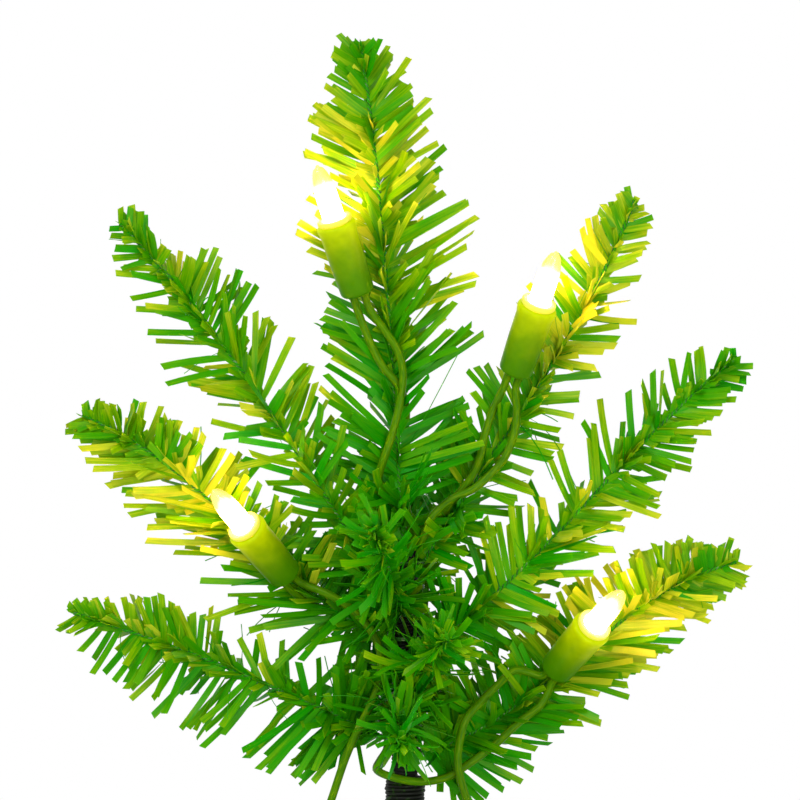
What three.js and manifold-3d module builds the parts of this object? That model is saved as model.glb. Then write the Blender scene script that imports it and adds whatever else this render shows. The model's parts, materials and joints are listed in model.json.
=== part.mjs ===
// A small artificial tree with a string of mini lamps, on a round battery base.
// Millimetres, +Z up, standing on z = 0 with the trunk on the Z axis. Its front faces -Y.
import * as THREE from 'three';
import { mergeVertices } from 'three/addons/utils/BufferGeometryUtils.js';
import Module from 'manifold-3d';

const wasm = await Module();
wasm.setup();

// Gaps shared by all the pieces
const clearance = 0.3;        // between two pieces that touch on the real object
const cutOverrun = 1;         // how far a cutting solid runs past the face it cuts
const strandGap = 0.7;        // least room kept round a needle strand

// Battery base
const baseBottomRadius = 55;
const baseTopRadius = 50;
const baseEdgeRadius = 4;
const baseWall = 2.4;
const footHeight = 1.7;
const footWidth = 9;
const footInset = 3.5;
const plateThickness = 2.4;
const cellLength = 49.3;
const cellRadius = 7.1;
const cellNubRadius = 2.7;
const cellNubHeight = 1.2;
const cellEdge = 0.8;
const cellGap = 0.5;
const cellCount = 3;
const trayWall = 1.6;
const trayHeadroom = 0.7;
const wiringRoom = 10.1;      // between the battery tray and the top of the housing
const contactRoom = 2.6;      // for a contact plate at each end of the cells
const contactThickness = 0.5;
const tabWidth = 5;
const ballastPlay = 1.5;      // between the tray's corners and the ballast
const ballastHeight = 12;
const bossRadius = 9;
const bossHeight = 6;
const bossFloor = 2;
const switchLength = 15;
const switchWidth = 8;
const switchHeight = 5;
const switchTravel = 3.5;
const stemLength = 3;
const stemWidth = 2.2;
const stemDepth = 3.2;        // how far the slider's stem reaches into the switch
const knobLength = 8;
const knobWidth = 5;
const knobHeight = 2.5;
const grommetInset = 3.6;     // from the housing's rounded edge
const grommetBodyRadius = 2.9;
const grommetFlangeRadius = 4.4;
const grommetFlange = 1;

// Trunk
const trunkRadius = 3.9;
const trunkEndLength = 3;     // how far the trunk runs past its highest ring
const trunkBoreDepth = 6;
const windingWidth = 5.2;
const windingThickness = 1.3;
const windingBare = 8.5;      // bare trunk between the winding and the lowest ring
const windingLoops = 8;
const windingStart = 3;       // above the boss
const stepsPerLoop = 24;

// Twigs: two wires twisted round a comb of film strips
const coreRadius = 1;
const coreSides = 6;
const twigLength = 124;
const leaderLength = 145;
const ringWidth = 1.4;
const ringHeight = 2;
const lowestRung = 109;
const rungPitch = 3.5;
const strandWidth = 1.75;
const strandThickness = 0.7;
const strandRootLength = 23;
const strandTipLength = 10;
const shortestStrand = 6;
const strandPitch = 4.7;
const bareRoot = 16;
const strandLean = 58;        // degrees from the twig's line, towards its tip
const strandLengthShares = [1, 0.75, 0.5];   // tried in turn where a strand would meet something

// Lamps
const huskLength = 21;
const huskRadius = 5.1;
const huskToeRadius = 3.6;
const huskToe = 1.6;
const lipWidth = 0.4;
const lipHeight = 2.1;
const socketRadius = 4.2;
const socketDepth = 16;
const contactBladeWidth = 1.6;
const contactBladeLength = 8;
const contactBladeThickness = 0.4;
const plugRadius = 2.7;
const plugLength = 15;
const cupWall = 0.6;
const cupDepth = 5.4;
const collarRadius = 4.8;
const collarHeight = 1.3;
const bulbRadius = 3.05;
const bulbReach = 17;         // from the husk's lip to the tip of the glass
const bulbTaper = 6.5;
const bulbCheekRadiusShare = 0.72;           // how the glass draws in to its tip
const bulbCheekHeightShare = 0.55;
const bulbNoseRadiusShare = 0.3;
const bulbNoseHeightShare = 0.85;
const bulbInnerRadiusShare = 0.66;
const bulbInnerHeightShare = 0.5;
const bulbTipWall = 1.35;
const glassWall = 0.45;
const filamentReach = 9.5;
const filamentSpan = 2;
const filamentRadius = 0.28;
const filamentSides = 4;
const filamentSteps = 10;
const wireSpacing = 3.2;
const lampTravel = 14;

// Wires
const wireDiameter = 2.2;
const wireSides = 8;
const wireStepShare = 2.5;    // of the wire's diameter, for each step along it
const spotSpacingShare = 1.5; // of the wire's radius, between the points that clearances use

// Facets round a turned piece
const coarseSides = 10;
const middleSides = 14;
const fineSides = 28;

const degrees = THREE.MathUtils.degToRad;

// Swings in degrees to each side of rest, round the trunk
const sideSwing = 25;
const shortSwing = 20;

// rung counts ring places up the trunk; rises are degrees above level at root, middle and tip
const twigs = [
  { name: 'twig_right_low', rung: 0, azimuth: 0, rises: [13.7, 40.3, 12.4], lengthShare: 0.82 },
  { name: 'twig_left_low', rung: 1, azimuth: 180, rises: [26.2, 22.1, 17.7], lengthShare: 0.75 },
  { name: 'twig_back_low', rung: 2, azimuth: 90, rises: [10, 12, 8], lengthShare: 0.37 },
  { name: 'twig_front_low', rung: 3, azimuth: 268, rises: [4, -4, -10], lengthShare: 0.37 },
  { name: 'twig_front_middle', rung: 6, azimuth: 283, rises: [22, 18, 12], lengthShare: 0.38 },
  { name: 'twig_back_middle', rung: 7, azimuth: 100, rises: [28, 24, 20], lengthShare: 0.38 },
  { name: 'twig_right_middle', rung: 8, azimuth: 0, rises: [34, 46.7, 38.5], lengthShare: 0.95 },
  { name: 'twig_left_middle', rung: 9, azimuth: 180, rises: [22.5, 43.5, 20.9], lengthShare: 0.833 },
  { name: 'twig_front_high', rung: 11, azimuth: 259, rises: [38, 34, 26], lengthShare: 0.39 },
  { name: 'twig_back_high', rung: 12, azimuth: 87, rises: [44, 42, 36], lengthShare: 0.39 },
  { name: 'twig_left_high', rung: 13, azimuth: 180, rises: [54.7, 55.9, 44.1], lengthShare: 1 },
  { name: 'twig_right_high', rung: 15, azimuth: 0, rises: [59, 57.4, 70.2], lengthShare: 0.93 },
];
const leader = { name: 'leader_twig', azimuth: 180, rises: [86, 86, 81] };

// Strands leave a twig in opposite pairs, at these roll angles round it, in turn
const flatRolls = [0, 60, 0, -60];
const roundRolls = [0, 60, 120];

// A lamp's seat is a point on its twig. Its toe stands off that point by shares of the husk's radius.
const lamps = [
  { name: 'top', on: 'leader_twig', seatShare: 0.532, besideShare: 1.55, forwardShare: 1.25,
    lean: -17.7, tilt: 16 },
  { name: 'right', on: 'twig_right_high', seatShare: 0.498, besideShare: 1.48, forwardShare: 1.2,
    lean: 18, tilt: 24 },
  { name: 'left', on: 'twig_left_middle', seatShare: 0.317, besideShare: -0.02, forwardShare: 1.5,
    lean: -37.8, tilt: 35 },
  { name: 'low', on: 'twig_right_low', seatShare: 0.429, besideShare: 0.4, forwardShare: 1.45,
    lean: 36, tilt: 40 },
];

// Heights worked out from the base upwards
const plateBottom = footHeight + clearance;
const plateTop = plateBottom + plateThickness;
const trayBottom = plateTop + clearance;
const cellHeight = trayBottom + clearance + cellRadius;
const trayCeiling = cellHeight + cellRadius + trayHeadroom;
const trayTop = trayCeiling + trayWall;
const bayWidth = cellCount * (2 * cellRadius + cellGap) + cellGap;
const bayLength = cellLength + cellNubHeight + 2 * contactRoom;
const deckBottom = trayTop + wiringRoom;
const baseHeight = deckBottom + baseWall;
const wallSlope = (baseBottomRadius - baseTopRadius) / (baseHeight - plateBottom);
const plateRadius = baseBottomRadius - baseWall - clearance - wallSlope * plateThickness;
const rimInner = baseBottomRadius - baseWall;
const shoulderHeight = baseHeight - baseEdgeRadius - baseWall;
const shoulderInner = baseTopRadius + wallSlope * baseEdgeRadius - baseWall;
const ballastTop = trayBottom + ballastHeight;
const ballastOuterRadius = Math.min(innerWall(trayBottom), innerWall(ballastTop)) - clearance;
const ballastInnerRadius = Math.hypot(bayWidth / 2 + trayWall, bayLength / 2 + trayWall) + ballastPlay;
const leadSpread = baseTopRadius - baseEdgeRadius - grommetFlangeRadius - grommetInset;
const bossTop = baseHeight + bossHeight;
const bossBottom = trayTop + clearance;
const trunkFoot = bossBottom + bossFloor + clearance;
const switchTop = deckBottom - clearance;
const switchBottom = switchTop - switchHeight;
const switchPlace = bayLength / 2 - contactRoom / 2;
const wireRadius = wireDiameter / 2;
const ringInner = (trunkRadius + clearance) / Math.cos(Math.PI / coarseSides);
const ringOuter = ringInner + ringWidth;
const windingInner = trunkRadius + clearance;
const windingTop = lowestRung - ringHeight / 2 - windingBare;
const highestRung = lowestRung + Math.max(...twigs.map((twig) => twig.rung)) * rungPitch;
const trunkTop = highestRung + trunkEndLength;

const blackPlastic = new THREE.MeshStandardMaterial({ color: 0x1d2420, roughness: 0.5 });
const blackRubber = new THREE.MeshStandardMaterial({ color: 0x161616, roughness: 0.85 });
const darkTape = new THREE.MeshStandardMaterial({ color: 0x14160f, roughness: 0.6 });
const needleFilm = new THREE.MeshStandardMaterial({ color: 0x58b400, roughness: 0.4 });
const cordJacket = new THREE.MeshStandardMaterial({ color: 0x4a7a00, roughness: 0.45 });
const huskPlastic = new THREE.MeshStandardMaterial({ color: 0x8aa800, roughness: 0.4 });
const plugPlastic = new THREE.MeshStandardMaterial({ color: 0xb4c400, roughness: 0.45 });
const brass = new THREE.MeshStandardMaterial({ color: 0xc9a24a, roughness: 0.35, metalness: 1 });
const steel = new THREE.MeshStandardMaterial({ color: 0xb8bcc0, roughness: 0.35, metalness: 1 });
const castIron = new THREE.MeshStandardMaterial({ color: 0x4a4a4c, roughness: 0.7, metalness: 0.8 });
const cellLabel = new THREE.MeshStandardMaterial({ color: 0x2f6b3a, roughness: 0.4 });
const bulbGlass = new THREE.MeshStandardMaterial({
  color: 0xfff6d0, roughness: 0.05, transparent: true, opacity: 0.5, emissive: 0xffe080,
});

// The housing's inner radius at a height between its rim and its shoulder
function innerWall(height) {
  const share = (height - plateBottom) / (shoulderHeight - plateBottom);
  return rimInner + (shoulderInner - rimInner) * share;
}

// A closed geometry as a solid that can be cut and joined
function solidOf(geometry) {
  const bare = new THREE.BufferGeometry();
  bare.setAttribute('position', geometry.getAttribute('position').clone());
  bare.setIndex(geometry.index ? geometry.index.clone() : null);
  const merged = mergeVertices(bare);
  return new wasm.Manifold(new wasm.Mesh({
    numProp: 3,
    vertProperties: new Float32Array(merged.attributes.position.array),
    triVerts: new Uint32Array(merged.index.array),
  }));
}

function geometryOf(solid) {
  const { vertProperties, triVerts, numProp } = solid.getMesh();
  const geometry = new THREE.BufferGeometry();
  const places = new THREE.InterleavedBuffer(vertProperties, numProp);
  geometry.setAttribute('position', new THREE.InterleavedBufferAttribute(places, 3, 0));
  geometry.setIndex(new THREE.BufferAttribute(triVerts, 1));
  const loose = geometry.toNonIndexed();
  loose.computeVertexNormals();
  return loose;
}

function cut(geometry, tools) {
  return geometryOf(tools.reduce((body, tool) => body.subtract(solidOf(tool)), solidOf(geometry)));
}

function join(parts) {
  return geometryOf(parts.map(solidOf).reduce((body, part) => body.add(part)));
}

// A profile of [radius, height] points turned round the Z axis, listed outside upwards
function turned(profile, sides) {
  const points = profile.map(([radius, height]) => new THREE.Vector2(radius, height));
  return new THREE.LatheGeometry(points, sides).rotateX(Math.PI / 2);
}

function ring(inner, outer, bottom, top, sides) {
  return turned([[inner, bottom], [outer, bottom], [outer, top], [inner, top], [inner, bottom]], sides);
}

function rod(radius, bottom, top, sides) {
  return turned([[0, bottom], [radius, bottom], [radius, top], [0, top]], sides);
}

// A box from its middle in plan, its sizes, and its lowest and highest level
function block(x, y, width, length, bottom, top) {
  return new THREE.BoxGeometry(width, length, top - bottom).translate(x, y, (bottom + top) / 2);
}

function polygon(radius, sides) {
  const shape = new THREE.Shape();
  for (let i = 0; i < sides; i++) {
    const angle = (2 * Math.PI * i) / sides;
    const corner = [radius * Math.cos(angle), radius * Math.sin(angle)];
    if (i === 0) shape.moveTo(...corner);
    else shape.lineTo(...corner);
  }
  shape.closePath();
  return shape;
}

function swept(curve, radius, sides, steps) {
  const options = { steps, extrudePath: curve, bevelEnabled: false };
  return new THREE.ExtrudeGeometry(polygon(radius, sides), options);
}

function mesh(name, geometry, material) {
  const made = new THREE.Mesh(geometry, material);
  made.name = name;
  return made;
}

// The twig's rise at a share of its length: a parabola through root, middle and tip
function riseAt([root, middle, tip], share) {
  const rise = root * (1 - share) * (1 - 2 * share) + middle * 4 * share * (1 - share)
    + tip * share * (2 * share - 1);
  return degrees(rise);
}

// The twig's line in its own upright plane, x outwards and z up
function twigLine(twig) {
  const lineSteps = 24;
  const stride = twig.length / lineSteps;
  const at = new THREE.Vector3(twig.rootRadius, 0, twig.height);
  const points = [at.clone()];
  for (let i = 0; i < lineSteps; i++) {
    const rise = riseAt(twig.rises, (i + 1 / 2) / lineSteps);
    at.add(new THREE.Vector3(Math.cos(rise), 0, Math.sin(rise)).multiplyScalar(stride));
    points.push(at.clone());
  }
  return new THREE.CatmullRomCurve3(points);
}

function placeTwigs() {
  for (const twig of twigs) {
    const short = /front|back/.test(twig.name);
    twig.height = lowestRung + twig.rung * rungPitch;
    twig.length = twig.lengthShare * twigLength;
    twig.rootRadius = (ringInner + ringOuter) / 2;
    twig.rolls = short ? roundRolls : flatRolls;
    twig.swing = short ? shortSwing : sideSwing;
    twig.bare = bareRoot;
  }
  leader.height = trunkTop - trunkBoreDepth + clearance;
  leader.length = leaderLength;
  leader.rootRadius = 0;
  leader.rolls = flatRolls;
  leader.swing = 0;
  leader.bare = bareRoot + trunkBoreDepth;
  for (const twig of [leader, ...twigs]) {
    twig.line = twigLine(twig);
    twig.turn = new THREE.Matrix4().makeRotationZ(degrees(twig.azimuth));
  }
}

// The lamp's own frame: its origin is the middle of the husk's toe and z runs out through the bulb
function placeLamps() {
  for (const lamp of lamps) {
    const twig = [leader, ...twigs].find((one) => one.name === lamp.on);
    const seat = twig.line.getPointAt(lamp.seatShare);
    const along = twig.line.getTangentAt(lamp.seatShare);
    const over = new THREE.Vector3(-along.z, 0, along.x);
    seat.addScaledVector(over, lamp.besideShare * huskRadius * (lamp.on === leader.name ? -1 : 1));
    seat.applyMatrix4(twig.turn);
    seat.y -= lamp.forwardShare * huskRadius;
    const lean = degrees(lamp.lean);
    const tilt = degrees(lamp.tilt);
    const axis = new THREE.Vector3(
      Math.sin(lean) * Math.cos(tilt), -Math.sin(tilt), Math.cos(lean) * Math.cos(tilt));
    const across = new THREE.Vector3(0, 1, 0).cross(axis).normalize();
    lamp.frame = new THREE.Matrix4().makeBasis(across, axis.clone().cross(across), axis);
    lamp.frame.setPosition(seat);
    lamp.twig = twig;
  }
}

// A wire's last points at a lamp: outside the husk's toe, at the toe, and up inside its bore
function wireEnd(name, side) {
  const lamp = lamps.find((one) => one.name === name);
  const inside = huskLength - socketDepth - clearance;
  return [-2 * wireDiameter, 0, inside].map((depth) =>
    new THREE.Vector3(side * wireSpacing / 2, 0, depth).applyMatrix4(lamp.frame));
}

function route(points) {
  return points.map(([x, y, z]) => new THREE.Vector3(x, y, z));
}

placeTwigs();
placeLamps();

// The string runs left lead, left lamp, top lamp, right lamp, low lamp, right lead.
// bends lists the twig whose swing bends the wire.
const wires = [
  { name: 'lead_wire_left', bends: 'twig_left_middle', points: [
    ...route([
      [-8.2, -27, 28.6], [-14, -27, 28.2], [-26, -19, 27], [-34.5, -7, 24.5], [-37.6, -1.6, 23.4],
      [-38, -0.1, 25.8], [-38, 0, 29], [-38, 0, 33], [-38, 0, 37.5], [-37.4, -0.4, 43], [-33.7, -2.5, 55],
      [-28.6, -4.5, 71], [-23.6, -6.2, 87], [-20.4, -7.2, 96], [-15.8, -8.6, 109.5], [-11.6, -9.2, 118.5],
      [-8.6, -9, 124.6], [-6.8, -8.6, 130.4], [-6.8, -8.6, 137.2], [-9.4, -8.6, 143.3],
      [-14.5, -8.3, 149], [-20.8, -7.6, 153],
    ]),
    ...wireEnd('left', 1),
  ] },
  { name: 'wire_left_to_top', bends: 'twig_left_middle', points: [
    ...wireEnd('left', -1).reverse(),
    ...route([
      [-26, 0.4, 149.5], [-20.5, 4, 148], [-14.5, 5.4, 147], [-9, 6.6, 149], [-5.2, 6.8, 154.5],
      [-4.8, 6.6, 162], [-5.4, 4.9, 168], [-6.9, 1.6, 177], [-7.3, -2, 184.5], [-5.8, -4.3, 190],
      [-4.1, -4.8, 195], [-2.5, -5.1, 200.5], [-1.1, -5.2, 207.4], [-0.6, -5.2, 214],
      [-2.2, -5, 220],
    ]),
    ...wireEnd('top', 1),
  ] },
  { name: 'wire_top_to_right', bends: 'twig_right_high', points: [
    ...wireEnd('top', -1).reverse(),
    ...route([
      [-9.4, -4.6, 221.6], [-6.2, -4, 215.5], [-1.9, -3, 210.2], [0.2, 0.3, 204.6], [0, 3.2, 196],
      [-0.2, 3.8, 186], [0.4, 2.8, 177], [2, -0.6, 169], [3.8, -3.6, 167], [5.6, -5, 169.9],
      [7.6, -5.2, 174.4], [12.9, -5, 179], [19, -5, 181.9], [23.3, -4.8, 185.7], [27.2, -4.6, 190.2],
      [29.8, -4.5, 196.5], [30.6, -4.4, 202.5],
    ]),
    ...wireEnd('right', 1),
  ] },
  { name: 'wire_right_to_trunk', bends: 'twig_right_high', points: [
    ...wireEnd('right', -1).reverse(),
    ...route([
      [23.6, -4, 202], [21.8, -4, 196], [20.4, -3.8, 190], [18, -2.8, 184.5], [12, -1, 177],
      [7.8, 1.6, 170.5], [6.6, 4.6, 164], [6, 6.2, 157], [5.4, 6.4, 149.5], [5.3, 6.4, 142],
    ]),
  ] },
  { name: 'wire_trunk_to_low', bends: 'twig_right_low', points: [
    ...route([
      [5.3, 6.4, 141.7], [5.4, 6.2, 138], [6.8, 4, 134], [7.9, -0.6, 131], [6, -5.8, 128],
      [1, -7.9, 125.6], [-4.2, -6.8, 123], [-7.8, -1.6, 120.5], [-6.9, 4.2, 118.2],
      [-5, 6.4, 114], [-5, 6.3, 109], [-6.9, 4, 106], [-7.9, -0.6, 104.4], [-6.3, -5.4, 103.6],
      [-2.4, -8, 102.6], [2.4, -8.4, 101.8], [7.2, -8.4, 101.9], [12.1, -8, 103.2],
      [18.6, -7.3, 107.3], [25, -6.6, 112], [31, -6.2, 117.6], [37.5, -4.4, 122.6],
    ]),
    ...wireEnd('low', 1),
  ] },
  { name: 'lead_wire_right', bends: 'twig_right_low', points: [
    ...wireEnd('low', -1).reverse(),
    ...route([
      [30.2, -5.6, 132], [25.6, -7.6, 128.4], [20.6, -9.4, 123.7], [16.4, -10.8, 118.6],
      [14.9, -11.4, 113], [14.4, -11.5, 107.8], [15.1, -11.2, 103.2], [17.2, -10.4, 96],
      [21.4, -8.6, 81], [26.8, -6, 64], [32.4, -3, 50], [37.4, -0.4, 43], [38, 0, 37.5], [38, 0, 33],
      [38, 0, 29], [38, 0.1, 25.8], [37.6, 1.6, 23.4], [33.5, 8, 25], [23, 20, 26.3], [14, 26, 28.2],
      [8.2, 27, 28.6],
    ]),
  ] },
];

// Points about every wire radius along a straight line
function spots(from, to) {
  const count = Math.max(2, Math.ceil(from.distanceTo(to) / (wireRadius * spotSpacingShare)));
  return Array.from({ length: count + 1 }, (_, i) => from.clone().lerp(to, i / count));
}

function curveSpots(curve) {
  return curve.getSpacedPoints(Math.ceil(curve.getLength() / wireRadius));
}

// What a strand must keep clear of. Each obstacle is a run of points with a radius.
// rides names the twig that carries it, and beside the twigs it never moves against.
const obstacles = [];

function addObstacle(points, radius, swing, rides, beside = []) {
  const places = points.map((p) => ({ r: Math.hypot(p.x, p.y), a: Math.atan2(p.y, p.x), z: p.z }));
  obstacles.push({ places, radius, swing, rides, beside });
}

function obstruct() {
  const axisPoint = (z) => new THREE.Vector3(0, 0, z);
  addObstacle(spots(axisPoint(0), axisPoint(trunkTop)), ringOuter, 0, 'trunk');
  for (const twig of [leader, ...twigs]) {
    const points = curveSpots(twig.line).map((p) => p.applyMatrix4(twig.turn));
    addObstacle(points, coreRadius, twig.swing, twig.name);
  }
  for (const lamp of lamps) {
    const place = (z) => new THREE.Vector3(0, 0, z).applyMatrix4(lamp.frame);
    const pulledOut = huskLength + bulbReach + lampTravel;
    const husk = spots(place(0), place(huskLength));
    const bulb = spots(place(huskLength), place(pulledOut));
    addObstacle(husk, huskRadius + lipWidth, lamp.twig.swing, lamp.on);
    addObstacle(bulb, collarRadius, lamp.twig.swing, lamp.on);
  }
  for (const wire of wires) {
    wire.curve = new THREE.CatmullRomCurve3(wire.points, false, 'centripetal');
    addObstacle(curveSpots(wire.curve), wireRadius, 0, 'trunk', [wire.bends]);
  }
}

// The least distance between two places once one twig has swung towards the other
function nearest(a, b, swing) {
  let apart = Math.abs(a.a - b.a);
  if (apart > Math.PI) apart = 2 * Math.PI - apart;
  apart = Math.max(0, apart - swing);
  const level = a.r * a.r + b.r * b.r - 2 * a.r * b.r * Math.cos(apart);
  return Math.sqrt(Math.max(0, level) + (a.z - b.z) ** 2);
}

function isClear(places, radius, twig) {
  return obstacles.every((other) => {
    if (other.rides === twig.name && other.isStrand) return true;
    if (other.rides === twig.name && other.radius === coreRadius) return true;
    const rigid = other.rides === twig.name || other.beside.includes(twig.name);
    const swing = rigid ? 0 : degrees(other.swing + twig.swing);
    const room = radius + other.radius + strandGap;
    return places.every((a) => other.places.every((b) => nearest(a, b, swing) > room));
  });
}

function stripSection() {
  const shape = new THREE.Shape();
  shape.moveTo(-strandWidth / 2, -strandThickness / 2);
  shape.lineTo(strandWidth / 2, -strandThickness / 2);
  shape.lineTo(0, strandThickness / 2);
  shape.closePath();
  return shape;
}

// One strip of film from the twig's line outwards, its width along the twig and a ridge down its back
function strand(at, along, outward, length) {
  const lean = degrees(strandLean);
  const run = along.clone().multiplyScalar(Math.cos(lean)).addScaledVector(outward, Math.sin(lean));
  const width = along.clone().addScaledVector(run, -along.dot(run)).normalize();
  const turn = new THREE.Matrix4().makeBasis(width, run.clone().cross(width), run).setPosition(at);
  const strip = new THREE.ExtrudeGeometry(stripSection(), { depth: length, bevelEnabled: false });
  return { strip: strip.applyMatrix4(turn), run };
}

// The longest of full, three quarter and half length that meets nothing, or none
function fittedStrand(twig, at, along, outward, length) {
  for (const share of strandLengthShares) {
    const reach = length * share;
    if (reach < shortestStrand) return null;
    const { strip, run } = strand(at, along, outward, reach);
    const from = at.clone().addScaledVector(run, 2 * coreRadius).applyMatrix4(twig.turn);
    const to = at.clone().addScaledVector(run, reach).applyMatrix4(twig.turn);
    const places = spots(from, to).map((p) => ({
      r: Math.hypot(p.x, p.y), a: Math.atan2(p.y, p.x), z: p.z,
    }));
    if (isClear(places, strandWidth / 2, twig)) {
      obstacles.push({
        places, radius: strandWidth / 2, swing: twig.swing, rides: twig.name, beside: [], isStrand: true,
      });
      return strip;
    }
  }
  return null;
}

let strandCount = 0;

// The core's rings lie midway between strands, so that each strand leaves one flat facet
function twigMesh(twig) {
  const strandsPerStep = 3;
  const coreSteps = Math.round(twig.length / (strandsPerStep * strandPitch));
  const stations = strandsPerStep * coreSteps;
  const pitch = twig.length / stations;
  const parts = [swept(twig.line, coreRadius, coreSides, coreSteps)];
  if (twig.rootRadius > 0) {
    const low = twig.height - ringHeight / 2;
    parts.push(ring(ringInner, ringOuter, low, low + ringHeight, coarseSides));
  }
  for (let i = Math.ceil(twig.bare / pitch); i < stations; i++) {
    const share = (i + 1 / 2) / stations;
    const at = twig.line.getPointAt(share);
    const along = twig.line.getTangentAt(share);
    const over = new THREE.Vector3(-along.z, 0, along.x);
    const side = new THREE.Vector3(0, 1, 0);
    const length = THREE.MathUtils.lerp(strandRootLength, strandTipLength, share);
    for (const half of [0, 180]) {
      const roll = degrees(twig.rolls[i % twig.rolls.length] + half);
      const outward = over.clone().multiplyScalar(Math.cos(roll)).addScaledVector(side, Math.sin(roll));
      const strip = fittedStrand(twig, at, along, outward, length);
      if (strip) {
        parts.push(strip);
        strandCount++;
      }
    }
  }
  const made = mesh(twig.name, join(parts), needleFilm);
  made.rotation.z = degrees(twig.azimuth);
  return made;
}

// The black tape: a flat six-cornered section carried up a helix, with straight ends
function windingGeometry() {
  const middle = windingInner + windingThickness / 2;
  const from = bossTop + windingStart + windingWidth / 2;
  const climb = (windingTop - windingWidth / 2 - from) / (windingLoops * 2 * Math.PI);
  const flat = windingWidth / 2 - windingThickness / 2;
  const section = [
    [-windingThickness / 2, -flat], [0, -windingWidth / 2], [windingThickness / 2, -flat],
    [windingThickness / 2, flat], [0, windingWidth / 2], [-windingThickness / 2, flat],
  ];
  const steps = windingLoops * stepsPerLoop;
  const centres = [];
  const places = [];
  const addSection = (angle, slide) => {
    const out = new THREE.Vector3(Math.cos(angle), Math.sin(angle), 0);
    const ahead = new THREE.Vector3(-Math.sin(angle) * middle, Math.cos(angle) * middle, climb).normalize();
    const centre = out.clone().multiplyScalar(middle).addScaledVector(ahead, slide);
    centre.z += from + climb * angle;
    centres.push(centre);
    for (const [thick, wide] of section) {
      places.push(...centre.clone().addScaledVector(out, thick).add(new THREE.Vector3(0, 0, wide)));
    }
  };
  addSection(0, -windingThickness);
  for (let i = 0; i <= steps; i++) addSection((2 * Math.PI * i) / stepsPerLoop, 0);
  addSection(2 * Math.PI * windingLoops, windingThickness);
  const corners = section.length;
  const faces = [];
  for (let i = 0; i < centres.length - 1; i++) {
    for (let k = 0; k < corners; k++) {
      const a = i * corners + k;
      const b = i * corners + ((k + 1) % corners);
      faces.push(a, b + corners, b, a, a + corners, b + corners);
    }
  }
  const last = (centres.length - 1) * corners;
  for (let k = 1; k < corners - 1; k++) {
    faces.push(0, k, k + 1, last, last + k + 1, last + k);
  }
  const geometry = new THREE.BufferGeometry();
  geometry.setAttribute('position', new THREE.Float32BufferAttribute(places, 3));
  geometry.setIndex(faces);
  printWindingGap(centres);
  return geometry.toNonIndexed();
}

// The least distance between turns, centre to centre, less the tape's width
function printWindingGap(centres) {
  let least = Infinity;
  centres.forEach((a, i) => {
    centres.slice(i + stepsPerLoop / 2).forEach((b) => {
      least = Math.min(least, a.distanceTo(b));
    });
  });
  console.log('winding: least gap to itself', (least - windingWidth).toFixed(2), 'mm');
}

function addTrunk(tree) {
  const boreRadius = (coreRadius + 2 * clearance) / Math.cos(Math.PI / middleSides);
  const profile = [
    [0, trunkFoot], [trunkRadius, trunkFoot], [trunkRadius, trunkTop], [boreRadius, trunkTop],
    [boreRadius, trunkTop - trunkBoreDepth], [0, trunkTop - trunkBoreDepth],
  ];
  tree.add(mesh('trunk_core', turned(profile, middleSides), darkTape));
  tree.add(mesh('trunk_winding', windingGeometry(), darkTape));
}

function addTwigs(tree) {
  for (const twig of [leader, ...twigs]) tree.add(twigMesh(twig));
  console.log('needle strands:', strandCount);
}

function huskGeometry() {
  const lip = huskRadius + lipWidth;
  const floor = huskLength - socketDepth;
  const profile = [
    [0, 0], [huskToeRadius, 0], [huskRadius - lipWidth, huskToe],
    [huskRadius, huskLength - lipHeight - lipWidth], [lip, huskLength - lipHeight], [lip, huskLength],
    [socketRadius, huskLength], [socketRadius, floor], [0, floor],
  ];
  const bore = (wireRadius + clearance) / Math.cos(Math.PI / wireSides);
  const bores = [-1, 1].map((side) =>
    rod(bore, -cutOverrun, floor + cutOverrun, wireSides).translate(side * wireSpacing / 2, 0, 0));
  return cut(turned(profile, coarseSides), bores);
}

function plugGeometry() {
  const bottom = huskLength - plugLength;
  const cupRadius = bulbRadius + clearance + cupWall;
  const cupBottom = huskLength - cupDepth;
  const collarBottom = huskLength + clearance;
  return turned([
    [0, bottom], [plugRadius, bottom], [plugRadius, cupBottom - 2 * cupWall],
    [cupRadius, cupBottom - cupWall], [cupRadius, collarBottom], [collarRadius, collarBottom],
    [collarRadius, collarBottom + collarHeight], [cupRadius - cupWall, collarBottom + collarHeight],
    [cupRadius - cupWall, cupBottom], [0, cupBottom],
  ], coarseSides);
}

function bulbGeometry() {
  const bottom = huskLength - cupDepth + clearance;
  const top = huskLength + bulbReach;
  const shoulder = top - bulbTaper;
  const inner = bulbRadius - glassWall;
  return turned([
    [inner, bottom], [bulbRadius, bottom], [bulbRadius, shoulder],
    [bulbRadius * bulbCheekRadiusShare, shoulder + bulbTaper * bulbCheekHeightShare],
    [bulbRadius * bulbNoseRadiusShare, shoulder + bulbTaper * bulbNoseHeightShare],
    [0, top], [0, top - bulbTipWall],
    [inner * bulbInnerRadiusShare, shoulder + bulbTaper * bulbInnerHeightShare],
    [inner, shoulder], [inner, bottom],
  ], coarseSides);
}

// Two legs that carry the filament across their tops, as one bent wire
function filamentGeometry() {
  const bottom = huskLength - cupDepth + clearance;
  const top = huskLength + filamentReach;
  const half = filamentSpan / 2;
  const legs = new THREE.CatmullRomCurve3(route([
    [-half, 0, bottom], [-half, 0, (bottom + top) / 2], [-half, 0, top - half],
    [0, 0, top], [half, 0, top - half], [half, 0, (bottom + top) / 2], [half, 0, bottom],
  ]), false, 'centripetal');
  return swept(legs, filamentRadius, filamentSides, filamentSteps);
}

function contactBlade(side) {
  const from = plugRadius + clearance;
  const floor = huskLength - socketDepth + clearance;
  const middle = side * (from + contactBladeThickness / 2);
  return block(middle, 0, contactBladeThickness, contactBladeWidth, floor, floor + contactBladeLength);
}

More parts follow.
